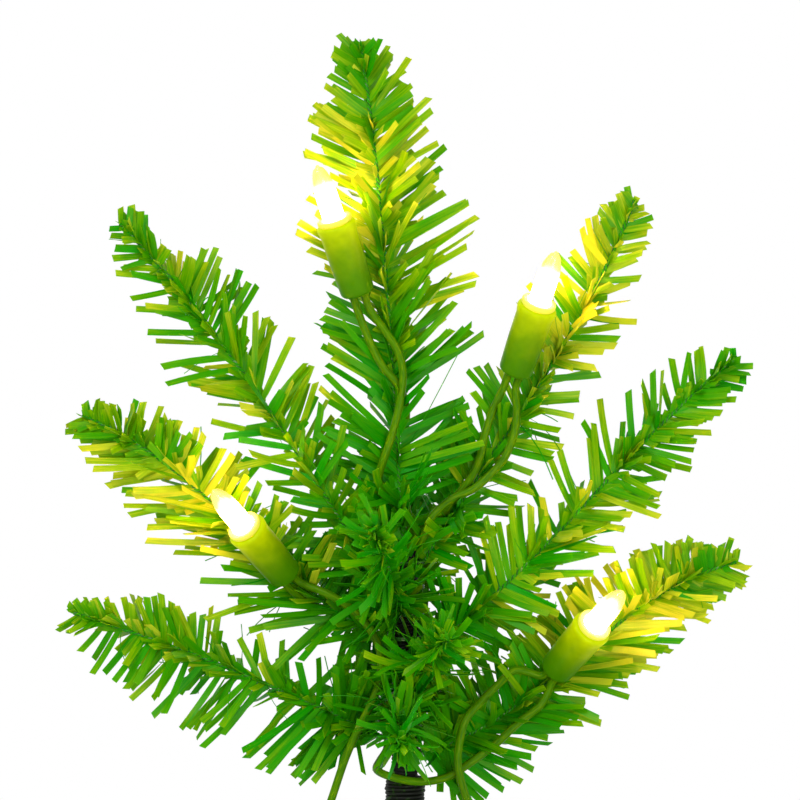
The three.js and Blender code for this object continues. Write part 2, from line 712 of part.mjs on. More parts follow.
function addLamps(tree) {
  for (const lamp of lamps) {
    const group = new THREE.Group();
    group.add(mesh(`husk_${lamp.name}`, huskGeometry(), huskPlastic));
    group.add(mesh(`contact_a_${lamp.name}`, contactBlade(-1), brass));
    group.add(mesh(`contact_b_${lamp.name}`, contactBlade(1), brass));
    group.add(mesh(`lamp_base_${lamp.name}`, plugGeometry(), plugPlastic));
    group.add(mesh(`bulb_${lamp.name}`, bulbGeometry(), bulbGlass));
    group.add(mesh(`filament_${lamp.name}`, filamentGeometry(), steel));
    lamp.frame.decompose(group.position, group.quaternion, group.scale);
    tree.add(group);
  }
}

function addWires(tree) {
  for (const wire of wires) {
    const steps = Math.ceil(wire.curve.getLength() / (wireStepShare * wireDiameter));
    tree.add(mesh(wire.name, swept(wire.curve, wireRadius, wireSides, steps), cordJacket));
  }
}

function housingGeometry() {
  const corner = baseTopRadius - baseEdgeRadius;
  const bore = (trunkRadius + clearance) / Math.cos(Math.PI / fineSides);
  const rounding = [0, 45, 90].map((angle) => [
    corner + baseEdgeRadius * Math.cos(degrees(angle)),
    baseHeight - baseEdgeRadius + baseEdgeRadius * Math.sin(degrees(angle)),
  ]);
  const shell = turned([
    [0, bossBottom], [bossRadius, bossBottom], [bossRadius, deckBottom],
    [corner, deckBottom], [shoulderInner, shoulderHeight],
    [rimInner, plateBottom], [baseBottomRadius, plateBottom], ...rounding,
    [bossRadius, baseHeight], [bossRadius - baseWall / 2, bossTop], [bore, bossTop],
    [bore, bossBottom + bossFloor], [0, bossBottom + bossFloor],
  ], fineSides);
  const grommetHole = (grommetBodyRadius + clearance) / Math.cos(Math.PI / coarseSides);
  const holes = [-1, 1].map((side) =>
    rod(grommetHole, deckBottom - cutOverrun, baseHeight + cutOverrun, coarseSides)
      .translate(side * leadSpread, 0, 0));
  const slot = block(-switchTravel / 2, -switchPlace, stemLength + switchTravel + 2 * clearance,
    stemWidth + 2 * clearance, deckBottom - cutOverrun, baseHeight + cutOverrun);
  return cut(shell, [...holes, slot]);
}

function rectangle(width, length) {
  const shape = new THREE.Shape();
  shape.moveTo(-width / 2, -length / 2);
  shape.lineTo(width / 2, -length / 2);
  shape.lineTo(width / 2, length / 2);
  shape.lineTo(-width / 2, length / 2);
  shape.closePath();
  return shape;
}

function plateGeometry() {
  const outline = polygon(plateRadius, fineSides);
  outline.holes.push(rectangle(bayWidth, bayLength));
  const options = { depth: plateThickness, bevelEnabled: false };
  return new THREE.ExtrudeGeometry(outline, options).translate(0, 0, plateBottom);
}

function trayGeometry() {
  const outer = block(0, 0, bayWidth + 2 * trayWall, bayLength + 2 * trayWall, trayBottom, trayTop);
  const bay = block(0, 0, bayWidth, bayLength, trayBottom - cutOverrun, trayCeiling);
  const slots = [-1, 1].map((side) => block(0, side * contactPlace(), tabWidth + 2 * clearance,
    contactThickness + 2 * clearance, trayCeiling - cutOverrun, trayTop + cutOverrun));
  return cut(outer, [bay, ...slots]);
}

function contactPlace() {
  return bayLength / 2 - clearance - contactThickness / 2;
}

// A spring-brass plate behind the cells, with a tab up through the tray
function contactPlateGeometry(side) {
  const half = bayWidth / 2 - clearance;
  const tabTop = side < 0 ? switchBottom - clearance : deckBottom - baseWall;
  const shape = new THREE.Shape();
  shape.moveTo(-half, trayBottom + clearance);
  shape.lineTo(half, trayBottom + clearance);
  shape.lineTo(half, trayCeiling - clearance);
  shape.lineTo(tabWidth / 2, trayCeiling - clearance);
  shape.lineTo(tabWidth / 2, tabTop);
  shape.lineTo(-tabWidth / 2, tabTop);
  shape.lineTo(-tabWidth / 2, trayCeiling - clearance);
  shape.lineTo(-half, trayCeiling - clearance);
  shape.closePath();
  const plate = new THREE.ExtrudeGeometry(shape, { depth: contactThickness, bevelEnabled: false });
  return plate.rotateX(Math.PI / 2).translate(0, side * contactPlace() + contactThickness / 2, 0);
}

function cellGeometry() {
  const half = cellLength / 2;
  return turned([
    [0, -half], [cellRadius - cellEdge, -half], [cellRadius, cellEdge - half],
    [cellRadius, half - cellEdge], [cellRadius - cellEdge, half], [cellNubRadius, half],
    [cellNubRadius, half + cellNubHeight], [0, half + cellNubHeight],
  ], coarseSides);
}

function addCells(tree) {
  for (let i = 0; i < cellCount; i++) {
    const cell = mesh(`cell_${i + 1}`, cellGeometry(), cellLabel);
    const way = i % 2 ? 1 : -1;
    cell.rotation.x = way * Math.PI / 2;
    const across = (i - (cellCount - 1) / 2) * (2 * cellRadius + cellGap);
    cell.position.set(across, way * cellNubHeight / 2, cellHeight);
    tree.add(cell);
  }
}

function switchGeometry() {
  const body = block(0, -switchPlace, switchLength, switchWidth, switchBottom, switchTop);
  const pocket = block(-switchTravel / 2, -switchPlace, stemLength + switchTravel + 2 * clearance,
    stemWidth + 2 * clearance, switchTop - stemDepth, switchTop + cutOverrun);
  return cut(body, [pocket]);
}

function sliderGeometry() {
  const knobBottom = baseHeight + clearance;
  const stemBottom = switchTop - stemDepth + clearance;
  const knob = block(0, -switchPlace, knobLength, knobWidth, knobBottom, knobBottom + knobHeight);
  const stem = block(0, -switchPlace, stemLength, stemWidth, stemBottom, knobBottom + knobHeight / 2);
  return join([knob, stem]);
}

function grommetGeometry() {
  const bore = (wireRadius + clearance) / Math.cos(Math.PI / coarseSides);
  const low = deckBottom - clearance;
  const high = baseHeight + clearance;
  return turned([
    [bore, low - grommetFlange], [grommetFlangeRadius, low - grommetFlange], [grommetFlangeRadius, low],
    [grommetBodyRadius, low], [grommetBodyRadius, high], [grommetFlangeRadius, high],
    [grommetFlangeRadius - grommetFlange, high + grommetFlange], [bore, high + grommetFlange],
    [bore, low - grommetFlange],
  ], coarseSides);
}

function addBase(tree) {
  const footOuter = baseBottomRadius - footInset;
  const doorWidth = bayWidth - 2 * clearance;
  const doorLength = bayLength - 2 * clearance;
  const foot = ring(footOuter - footWidth, footOuter, 0, footHeight, fineSides);
  const door = block(0, 0, doorWidth, doorLength, plateBottom, plateTop);
  const ballast = ring(ballastInnerRadius, ballastOuterRadius, trayBottom, ballastTop, fineSides);
  tree.add(mesh('base_housing', housingGeometry(), blackPlastic));
  tree.add(mesh('base_plate', plateGeometry(), blackPlastic));
  tree.add(mesh('foot_ring', foot, blackRubber));
  tree.add(mesh('battery_door', door, blackPlastic));
  tree.add(mesh('battery_tray', trayGeometry(), blackPlastic));
  tree.add(mesh('ballast_ring', ballast, castIron));
  addCells(tree);
  tree.add(mesh('contact_plate_front', contactPlateGeometry(-1), brass));
  tree.add(mesh('contact_plate_back', contactPlateGeometry(1), brass));
  tree.add(mesh('switch_body', switchGeometry(), blackPlastic));
  tree.add(mesh('switch_slider', sliderGeometry(), blackPlastic));
  for (const [name, side] of [['grommet_left', -1], ['grommet_right', 1]]) {
    const grommet = mesh(name, grommetGeometry(), blackRubber);
    grommet.position.x = side * leadSpread;
    tree.add(grommet);
  }
}

obstruct();
const tree = new THREE.Group();
addBase(tree);
addTrunk(tree);
addTwigs(tree);
addLamps(tree);
addWires(tree);

export default tree;
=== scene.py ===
"""Looks of a small artificial tree with plug-in mini lamps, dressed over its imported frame, +Z up.
Lengths are in millimetres, and become Blender's metres where a mesh, light or camera is made."""
import json
import math
from functools import partial

import bpy
import numpy as np
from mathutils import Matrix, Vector


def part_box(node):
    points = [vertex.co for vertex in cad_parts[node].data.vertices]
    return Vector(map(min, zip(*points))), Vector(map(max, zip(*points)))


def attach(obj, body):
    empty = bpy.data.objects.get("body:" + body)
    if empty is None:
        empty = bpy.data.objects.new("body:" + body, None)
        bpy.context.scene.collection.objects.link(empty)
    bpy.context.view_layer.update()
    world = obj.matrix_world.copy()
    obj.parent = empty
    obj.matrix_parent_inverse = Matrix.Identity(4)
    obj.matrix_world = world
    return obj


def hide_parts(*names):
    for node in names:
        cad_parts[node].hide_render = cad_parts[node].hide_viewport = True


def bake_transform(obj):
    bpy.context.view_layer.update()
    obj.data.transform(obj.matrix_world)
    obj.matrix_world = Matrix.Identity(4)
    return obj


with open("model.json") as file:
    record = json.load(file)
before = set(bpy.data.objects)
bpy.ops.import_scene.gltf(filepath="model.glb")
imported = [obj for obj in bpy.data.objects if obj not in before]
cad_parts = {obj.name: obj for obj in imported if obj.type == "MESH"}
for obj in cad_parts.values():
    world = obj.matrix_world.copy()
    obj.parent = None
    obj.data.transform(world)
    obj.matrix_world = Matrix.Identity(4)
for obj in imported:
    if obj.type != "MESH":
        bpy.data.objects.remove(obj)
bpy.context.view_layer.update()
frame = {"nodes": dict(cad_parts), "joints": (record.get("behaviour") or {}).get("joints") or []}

MM = 0.001  # in metres
nodes = frame["nodes"]

# The photograph's frame, in its own pixels
PHOTO_SIZE = 800
PIXEL = 0.275  # what one pixel covers at the trunk
TRUNK_PIXEL_X = 405
PHOTO_BOTTOM = 96  # height of the photograph's lower edge
CAMERA_DISTANCE = 1100
CAMERA_ELEVATION = math.radians(2)

# Film strips
STRIP_WIDTH = 1.92
STRIP_THICKNESS = 0.13
STRIP_STATIONS = np.array([0, 0.1, 0.34, 0.58, 0.8, 1])
STRIP_GAP = 0.5  # kept to lamps, and half of it to cords
GROUP_PITCH = 2.9
STUB_PITCH = 0.75
BARE_ROOT = 0.03  # share of a twig without combed strips
TAPER_SHARES = [0, 0.62, 0.84, 0.95, 1]
TAPER = [1, 0.95, 0.68, 0.4, 0.17]
HAIR_WIDTH = 0.22
NEAR_TWIG = 90  # cords further than this from a twig's middle aren't looked at
SHADE_REACH = 34  # painted shade: how far to each side of the trunk film is painted a darker green
SHADE_TOP = 215  # up to this height
LAMPLIGHT_TONE = 0.46  # the tone that painted lamplight adds to film close to a bulb
# How strips stand on a twig. The comb is their longest length and their lean from the twig in degrees, each
# on its upper and lower side, and stray is how far leans differ. Fill is how densely groups follow one
# another, flat the share of groups that lie to the sides, and single the share of lower groups of one strip.
USUAL = dict(fill=1, flat=0.58, single=0, stray=9, loose=0.25, tip_lean=0.8, hairs=14, tuft=18, tone=0.45)
SPARSE_BELOW = dict(USUAL, flat=0.75, single=0.75)
SHORT = dict(USUAL, comb=((21, 21), (62, 62)), fill=1.15, flat=0, stray=32, loose=0.8, tip_lean=0.35, hairs=8,
             tuft=6)
FRONT = dict(SHORT, tuft=36)

# Twigs: the rung of the trunk, azimuth, rises above level at root, middle and tip in degrees, and share of
# the full length, as the frame has them, then the plan of the strips
TWIG_LENGTH = 124
LOWEST_RUNG = 109
RUNG_PITCH = 3.5
RING_RADIUS = 5.1
# A plan's tone above the usual paints a twig's film lighter, as painted light, and one below it darker, as
# painted shade, to match how brightly that twig is lit
TWIGS = {
    "twig_right_low": (0, 0, (13.7, 40.3, 12.4), 0.82, dict(SPARSE_BELOW, comb=((19, 23), (84, 44)), fill=2)),
    "twig_left_low": (1, 180, (26.2, 22.1, 17.7), 0.75,
                      dict(USUAL, comb=((17, 24), (66, 72)), fill=1.1, tone=0.5)),
    "twig_back_low": (2, 90, (10, 12, 8), 0.37, SHORT),
    "twig_front_low": (3, 268, (4, -4, -10), 0.37, FRONT),
    "twig_front_middle": (6, 283, (22, 18, 12), 0.38, FRONT),
    "twig_back_middle": (7, 100, (28, 24, 20), 0.38, SHORT),
    "twig_right_middle": (8, 0, (34, 46.7, 38.5), 0.95,
                          dict(USUAL, comb=((21, 21), (58, 56)), fill=0.9, tone=0.35)),
    "twig_left_middle": (9, 180, (22.5, 43.5, 20.9), 0.833,
                         dict(SPARSE_BELOW, comb=((17, 27), (84, 42)), fill=1.6)),
    "twig_front_high": (11, 259, (38, 34, 26), 0.39, FRONT),
    "twig_back_high": (12, 87, (44, 42, 36), 0.39, SHORT),
    "twig_left_high": (13, 180, (54.7, 55.9, 44.1), 1, dict(SPARSE_BELOW, comb=((21, 21), (58, 54)))),
    "twig_right_high": (15, 0, (59, 57.4, 70.2), 0.93,
                        dict(SPARSE_BELOW, comb=((20, 17), (62, 62)), tone=0.5)),
}
LEADER_LENGTH = 145
LEADER_FOOT = 158.8
LEADER_RISES = (86, 86, 81)
LEADER_PLAN = dict(USUAL, comb=((28, 27), (64, 57)), fill=1.35)
FIRST_SEED = 20

# Twisted wires of the twigs
STRAND_RADIUS = 0.28
STRAND_PITCH = 3.6

# Lamps, along the lamp's own axis from the husk's toe
HUSK_LENGTH = 21
HUSK_RADIUS = 5.1
SOCKET_DEPTH = 16
BULB_RADIUS = 3.05
BULB_REACH = 17
BULB_FOOT = HUSK_LENGTH - 5.1
COIL_TOP = HUSK_LENGTH + 9
WIRE_SPACING = 3.2
CLEARANCE = 0.3
# The body that each lamp hangs on, and how far its painted lamplight reaches on the film
LAMPS = {"top": ("tree", 26), "right": ("twig_right_high", 34), "left": ("twig_left_middle", 31),
         "low": ("twig_right_low", 38)}

# Cords
CORD_RADIUS = 1.1
CORD_STEP = 0.8

# Trunk and base
BASE_HEIGHT = 34
BASE_TOP_RADIUS = 50
BASE_BOTTOM_RADIUS = 55
TRUNK_RADIUS = 3.9
THREAD_PITCH = 1.05
WINDING_EXTRA = 3  # how far the thread runs on above the frame's winding
GROMMET_PLACE = 38
SWITCH_TRAVEL = 3.5
CELL_LENGTH = 49.3
ROUND_SIDES = 96
AXIS = 0.05  # how near a turned profile comes to its axis


# Colours and shader nodes

def linear(hex_colour):
    """An sRGB hex colour as linear red, green, blue and full alpha."""
    shares = [int(hex_colour[i:i + 2], 16) / 255 for i in (1, 3, 5)]
    return [c / 12.92 if c <= 0.04045 else ((c + 0.055) / 1.055) ** 2.4 for c in shares] + [1]


def add_node(tree, kind, *values, stops=(), **named):
    """Adds a shader node. Values feed its inputs in order. Of the named ones, those with a capital are its
    inputs and the rest its settings. An input is fed by a number, a hex colour, a socket, or a node's first
    output. Stops fill a colour ramp."""
    made = tree.nodes.new(f"ShaderNode{kind}")
    inputs = dict(enumerate(values))
    for key, value in named.items():
        if key[0].isupper():
            inputs[key.replace("_", " ")] = value
        else:
            setattr(made, key, value)
    for key, value in inputs.items():
        if isinstance(value, bpy.types.Node):
            value = value.outputs[0]
        if isinstance(value, bpy.types.NodeSocket):
            tree.links.new(value, made.inputs[key])
        else:
            made.inputs[key].default_value = linear(value) if isinstance(value, str) else value
    if stops:
        elements = made.color_ramp.elements
        while len(elements) < len(stops):
            elements.new(1)
        for element, (place, colour) in zip(elements, stops):
            element.position = place
            element.color = linear(colour)
    return made


def new_material(name, look, *choices):
    """A material with a look: a function that adds nodes and returns the shader."""
    made = bpy.data.materials.new(name)
    made.use_nodes = True
    made.node_tree.nodes.clear()
    add = partial(add_node, made.node_tree)
    add("OutputMaterial", Surface=look(add, *choices))
    return made


def new_object(name, data):
    made = bpy.data.objects.new(name, data)
    bpy.context.scene.collection.objects.link(made)
    return made


# Surfaces

def full_turn(sides):
    return np.linspace(0, 2 * np.pi, sides, endpoint=False)


def around(radius, angle, height):
    """Points at those radii and angles round the Z axis, and at those heights."""
    return np.stack(np.broadcast_arrays(radius * np.cos(angle), radius * np.sin(angle), height), -1)


def unit(vectors):
    return vectors / np.linalg.norm(vectors, axis=-1, keepdims=True)


def box(node):
    return [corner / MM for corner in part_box(node)]


def surface(grid, wrap_rows=False):
    """Faces and map of a grid of points (rows, columns, 3). Columns wrap round; end rows become lids."""
    rows, columns = grid.shape[:2]
    steps = rows if wrap_rows else rows - 1
    i, j = np.mgrid[:steps, :columns]
    i, j = np.stack([i, i, i + 1, i + 1], -1), np.stack([j, j + 1, j + 1, j], -1)
    faces = [(i % rows * columns + j % columns).reshape(-1, 4)]
    maps = [np.stack([j / columns, i / steps], -1).reshape(-1, 2)]
    if not wrap_rows:
        ring = np.arange(columns)
        faces += [ring[None, ::-1], ((rows - 1) * columns + ring)[None]]
        maps += [np.zeros((columns, 2)), np.ones((columns, 2))]
    return grid.reshape(-1, 3), faces, np.concatenate(maps)


def joined(shapes):
    """Several (places, faces, map) sets as one."""
    places, faces, maps = zip(*shapes)
    starts = np.cumsum([0] + [len(p) for p in places])
    moved = [f + start for part, start in zip(faces, starts) for f in part]
    return np.concatenate(places), moved, np.concatenate(maps)


def with_height(shape, foot, length):
    """The shape with its height above the foot, in lengths, as the map's second coordinate."""
    places, faces, uv = shape
    corners = np.concatenate([f.ravel() for f in faces])
    return places, faces, np.stack([uv[:, 0], (places[corners, 2] - foot) / length], -1)


def new_mesh(name, shape, marks=None, sharp=35):
    """A mesh from (places, faces, map). It is turned outside out if its volume comes out negative."""
    places, faces, uv = shape
    volume = sum(
        np.einsum("ij,ij->", places[f[:, 0]], np.cross(places[f[:, k]], places[f[:, k + 1]]))
        for f in faces for k in range(1, f.shape[1] - 1))
    mesh = bpy.data.meshes.new(name)
    mesh.from_pydata(places * MM, [], [face for group in faces for face in group.tolist()])
    mesh.uv_layers.new(name="surface_map").uv.foreach_set("vector", uv.astype(np.float32).ravel())
    for mark, values in (marks or {}).items():
        mesh.attributes.new(mark, "FLOAT", "POINT").data.foreach_set("value", values.astype(np.float32))
    if volume < 0:
        mesh.flip_normals()
    mesh.shade_smooth()
    mesh.set_sharp_from_angle(angle=math.radians(sharp))
    return mesh


def new_piece(name, shape, material, body=None, node=None, marks=None, sharp=35):
    """The piece rides on its body, stands for a CAD node, whose mesh it hides, and takes the material given.
    """
    piece = new_object(name, new_mesh(name, shape, marks, sharp))
    piece.data.materials.append(material)
    if body:
        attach(piece, body)
    if node:
        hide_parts(node)
    return piece


def cut_bores(piece, bores):
    """Cuts closed shapes out of a piece, as drilling does."""
    cutter = new_object("bores", new_mesh("bores", joined(bores)))
    modifier = piece.modifiers.new("bores", "BOOLEAN")
    modifier.operation = "DIFFERENCE"
    modifier.solver = "EXACT"
    modifier.object = cutter
    depsgraph = bpy.context.evaluated_depsgraph_get()
    made = bpy.data.meshes.new_from_object(piece.evaluated_get(depsgraph), depsgraph=depsgraph)
    piece.modifiers.remove(modifier)
    old, name = piece.data, piece.data.name
    piece.data = made
    bpy.data.meshes.remove(old)
    made.name = name
    bpy.data.objects.remove(cutter)
    made.set_sharp_from_angle(angle=math.radians(35))


def finish_node(name, material):
    nodes[name].data.materials.clear()
    nodes[name].data.materials.append(material)


def profile_of(*stretches):
    return np.concatenate([np.atleast_2d(stretch) for stretch in stretches])


def arc(radius, height, bend, start, end, steps):
    """Points of a round corner about (radius, height), from start to end in degrees."""
    angle = np.radians(np.linspace(start, end, steps))
    return np.stack([radius + bend * np.cos(angle), height + bend * np.sin(angle)], -1)


def turned(profile, sides=ROUND_SIDES, wrap_rows=False):
    """A profile of (radius, height) points carried round the Z axis."""
    return surface(around(profile[:, :1], full_turn(sides), profile[:, 1:]), wrap_rows)


def prism(outline, low, high):
    """A closed outline of (x, y) points carried straight up."""
    return surface(np.stack([np.insert(outline, 2, height, axis=1) for height in (low, high)]))


def block(x_low, x_high, y_low, y_high):
    return np.array([[x_low, y_low], [x_high, y_low], [x_high, y_high], [x_low, y_high]])


def tube(path, radius, sides):
    """A round section carried along a path, turned no more than the path turns it: at each point its first
    side lies at the running sum of the turns between one fixed slanting side and the next."""
    ahead = unit(np.gradient(path, axis=0))
    fixed = np.array([0.36, 0.48, 0.8])
    beside = unit(fixed - ahead * (ahead @ fixed)[:, None])
    over = np.cross(ahead, beside)
    turn = np.arctan2((beside[:-1] * over[1:]).sum(1), (beside[:-1] * beside[1:]).sum(1))
    angle = full_turn(sides) + np.concatenate([[0], np.cumsum(turn)])[:, None]
    ring = np.cos(angle)[..., None] * beside[:, None] + np.sin(angle)[..., None] * over[:, None]
    return surface(path[:, None] + radius * ring)


def smooth_route(points, step):
    """Centripetal Catmull-Rom through the points: each stretch is the Hermite cubic between two of them,
    with end speeds from the root of the distances to their neighbours, then taken at even steps."""
    points = np.concatenate([2 * points[:1] - points[1:2], points, 2 * points[-1:] - points[-2:-1]])
    gap = np.sqrt(np.linalg.norm(np.diff(points, axis=0), axis=1))[:, None]
    before, here, after = gap[:-2], gap[1:-1], gap[2:]
    p0, p1, p2, p3 = points[:-3], points[1:-2], points[2:-1], points[3:]
    leave = here * ((p1 - p0) / before - (p2 - p0) / (before + here) + (p2 - p1) / here)
    arrive = here * ((p2 - p1) / here - (p3 - p1) / (here + after) + (p3 - p2) / after)
    t = np.linspace(0, 1, 20, endpoint=False)[None, :, None]
    curve = ((2 * t**3 - 3 * t**2 + 1) * p1[:, None] + (t**3 - 2 * t**2 + t) * leave[:, None]
             + (3 * t**2 - 2 * t**3) * p2[:, None] + (t**3 - t**2) * arrive[:, None])
    return even_steps(np.concatenate([curve.reshape(-1, 3), points[-2:-1]]), step)


def even_steps(path, step):
    run = np.concatenate([[0], np.cumsum(np.linalg.norm(np.diff(path, axis=0), axis=1))])
    places = np.linspace(0, run[-1], int(round(run[-1] / step)) + 1)
    return np.stack([np.interp(places, run, path[:, k]) for k in range(3)], -1)


# Twig lines

def rise_at(rises, share):
    """Degrees above level at a share of the length: the parabola through root, middle and tip."""
    root, middle, tip = rises
    return (root * (1 - share) * (1 - 2 * share) + middle * 4 * share * (1 - share)
            + tip * share * (2 * share - 1))


def twig_line(name):
    """Points down the middle of a twig with its length, in the row frame."""
    if name == "leader_twig":
        azimuth, rises, length, radius, height = 180, LEADER_RISES, LEADER_LENGTH, 0, LEADER_FOOT
    else:
        rung, azimuth, rises, share = TWIGS[name][:4]
        length, radius, height = share * TWIG_LENGTH, RING_RADIUS, LOWEST_RUNG + rung * RUNG_PITCH
    steps = 120
    rise = np.radians(rise_at(rises, (np.arange(steps) + 0.5) / steps))
    out = radius + np.concatenate([[0], np.cumsum(np.cos(rise))]) * length / steps
    up = height + np.concatenate([[0], np.cumsum(np.sin(rise))]) * length / steps
    turn = math.radians(azimuth)
    return {"points": around(out, turn, up), "length": length, "rises": rises, "turn": turn}


def at_share(line, share):
    """Place, direction, upward normal and level normal of a twig at shares of its length."""
    grid = np.linspace(0, 1, len(line["points"]))
    place = np.stack([np.interp(share, grid, line["points"][:, k]) for k in range(3)], -1)
    rise = np.radians(rise_at(line["rises"], share))
    ahead = around(np.cos(rise), line["turn"], np.sin(rise))
    over = around(-np.sin(rise), line["turn"], np.cos(rise))
    side = np.broadcast_to([-math.sin(line["turn"]), math.cos(line["turn"]), 0], place.shape)
    return place, ahead, over, side


# Lamps' places, read from the frame

def lamp_frame(name):
    """The lamp's own axes as columns, the third out through the bulb, and the middle of the husk's toe."""
    joint = next(j for j in frame["joints"] if j["name"] == f"plug_{name}")
    axis = unit(np.array(joint["axis"], float))
    mesh = nodes[f"husk_{name}"].data
    places = np.empty(len(mesh.vertices) * 3, np.float32)
    mesh.vertices.foreach_get("co", places)
    places = places.astype(float).reshape(-1, 3) / MM
    height = places @ axis
    toe = places[height < height.min() + 0.01]
    across = unit(np.cross([0, 1, 0], axis))
    return np.stack([across, np.cross(axis, across), axis], -1), (toe.min(0) + toe.max(0)) / 2


lamp_frames = {name: lamp_frame(name) for name in LAMPS}


def in_lamp(name, points):
    axes, toe = lamp_frames[name]
    return np.asarray(points) @ axes.T + toe


# Cords. Each has the lamp it starts from, points listed along it, the lamp it ends in, the twig that
# one of its ends hangs on, and the two ends of the stretch over which it comes to follow that twig.
CORDS = {
    "lead_wire_left": (None, [
        [-8.2, -27, 28.6], [-14, -27, 28.2], [-26, -19, 27], [-34.5, -7, 24.5], [-37.6, -1.6, 23.4],
        [-38, -0.1, 25.8], [-38, 0, 29], [-38, 0, 33], [-38, 0, 37.5], [-37.4, -0.4, 43],
        [-33.7, -2.5, 55], [-28.6, -4.5, 71], [-23.6, -6.2, 87], [-20.4, -7.2, 96], [-15.8, -8.6, 109.5],
        [-11.6, -9.2, 118.5], [-8.6, -9, 124.6], [-6.8, -8.6, 130.4], [-6.8, -8.6, 137.2],
        [-9.4, -8.6, 143.3], [-14.5, -8.3, 149], [-20.8, -7.6, 153]],
        "left", "twig_left_middle", (-8, -8.5, 142), (-28, -6, 156)),
    "wire_left_to_top": ("left", [
        [-26, 0.4, 149.5], [-20.5, 4, 148], [-14.5, 5.4, 147], [-9, 6.6, 149], [-5.2, 6.8, 154.5],
        [-4.8, 6.6, 162], [-5.4, 4.9, 168], [-6.9, 1.6, 177], [-7.3, -2, 184.5], [-5.8, -4.3, 190],
        [-4.1, -4.8, 195], [-2.5, -5.1, 200.5], [-1.1, -5.2, 207.4], [-0.6, -5.2, 214], [-2.2, -5, 220]],
        "top", "twig_left_middle", (-14.5, 0, 150), (-29, 0, 150)),
    "wire_top_to_right": ("top", [
        [-9.4, -4.6, 221.6], [-6.2, -4, 215.5], [-1.9, -3, 210.2], [0.2, 0.3, 204.6], [0, 3.2, 196],
        [-0.2, 3.8, 186], [0.4, 2.8, 177], [2, -0.6, 169], [3.8, -3.6, 167], [5.6, -5, 169.9],
        [7.6, -5.2, 174.4], [12.9, -5, 179], [19, -5, 181.9], [23.3, -4.8, 185.7], [27.2, -4.6, 190.2],
        [29.8, -4.5, 196.5], [30.6, -4.4, 202.5]],
        "right", "twig_right_high", (5, 0, 180), (25, 0, 180)),
    "wire_right_to_trunk": ("right", [
        [23.6, -4, 202], [21.8, -4, 196], [20.4, -3.8, 190], [18, -2.8, 184.5], [12, -1, 177],
        [7.8, 1.6, 170.5], [6.6, 4.6, 164], [6, 6.2, 157], [5.4, 6.4, 149.5], [5.3, 6.4, 142]],
        None, "twig_right_high", (6, 0, 180), (23, 0, 180)),
    "wire_trunk_to_low": (None, [
        [5.3, 6.4, 141.7], [5.4, 6.2, 138], [6.8, 4, 134], [7.9, -0.6, 131], [6, -5.8, 128],
        [1, -7.9, 125.6], [-4.2, -6.8, 123], [-7.8, -1.6, 120.5], [-6.9, 4.2, 118.2], [-5, 6.4, 114],
        [-5, 6.3, 109], [-6.9, 4, 106], [-7.9, -0.6, 104.4], [-6.3, -5.4, 103.6], [-2.4, -8, 102.6],
        [2.4, -8.4, 101.8], [7.2, -8.4, 101.9], [12.1, -8, 103.2], [18.6, -7.3, 107.3], [25, -6.6, 112],
        [31, -6.2, 117.6], [37.5, -4.4, 122.6]],
        "low", "twig_right_low", (9, 0, 110), (36, 0, 110)),
    "lead_wire_right": ("low", [
        [30.2, -5.6, 132], [25.6, -7.6, 128.4], [20.6, -9.4, 123.7], [16.4, -10.8, 118.6],
        [14.9, -11.4, 113], [14.4, -11.5, 107.8], [15.1, -11.2, 103.2], [17.2, -10.4, 96],
        [21.4, -8.6, 81], [26.8, -6, 64], [32.4, -3, 50], [37.4, -0.4, 43], [38, 0, 37.5],
        [38, 0, 33], [38, 0, 29], [38, 0.1, 25.8], [37.6, 1.6, 23.4], [33.5, 8, 25],
        [23, 20, 26.3], [14, 26, 28.2], [8.2, 27, 28.6]],
        None, "twig_right_low", (16, 0, 118), (38, 0, 131)),
}


def wire_end(name, side):
    """A wire's last points at a lamp: outside the husk's toe, at the toe, and up inside its bore."""
    inside = HUSK_LENGTH - SOCKET_DEPTH - CLEARANCE
    return in_lamp(name, [[side * WIRE_SPACING / 2, 0, depth] for depth in (-4 * CORD_RADIUS, 0, inside)])


def cord_path(start, points, end):
    """A smooth path through the points, out of the first lamp's toe and into the last one's."""
    before = [wire_end(start, -1)[::-1]] if start else []
    after = [wire_end(end, 1)] if end else []
    return smooth_route(np.concatenate([*before, points, *after]), CORD_STEP)


cord_paths = {name: cord_path(*plan[:3]) for name, plan in CORDS.items()}


# Camera, light and stage

def place_camera():
    """Stands where the photograph was taken from, and gives the point it looks at."""
    width = PHOTO_SIZE * PIXEL
    centre = Vector(((PHOTO_SIZE / 2 - TRUNK_PIXEL_X) * PIXEL, 0, PHOTO_BOTTOM + width / 2))
    back = Vector((0, -math.cos(CAMERA_ELEVATION), math.sin(CAMERA_ELEVATION)))
    camera = new_object("photo_camera", bpy.data.cameras.new("photo_camera"))
    camera.data.lens = camera.data.sensor_width * CAMERA_DISTANCE / width
    camera.location = (centre + back * CAMERA_DISTANCE) * MM
    camera.rotation_euler = back.to_track_quat("Z", "Y").to_euler()
    bpy.context.scene.camera = camera
    return centre


def add_soft_box(name, aim, offset, size, power):
    light = bpy.data.lights.new(name, "AREA")
    light.shape = "DISK"
    light.size = size * MM
    light.energy = power
    holder = new_object(name, light)
    holder.location = (aim + Vector(offset)) * MM
    holder.rotation_euler = Vector(offset).to_track_quat("Z", "Y").to_euler()


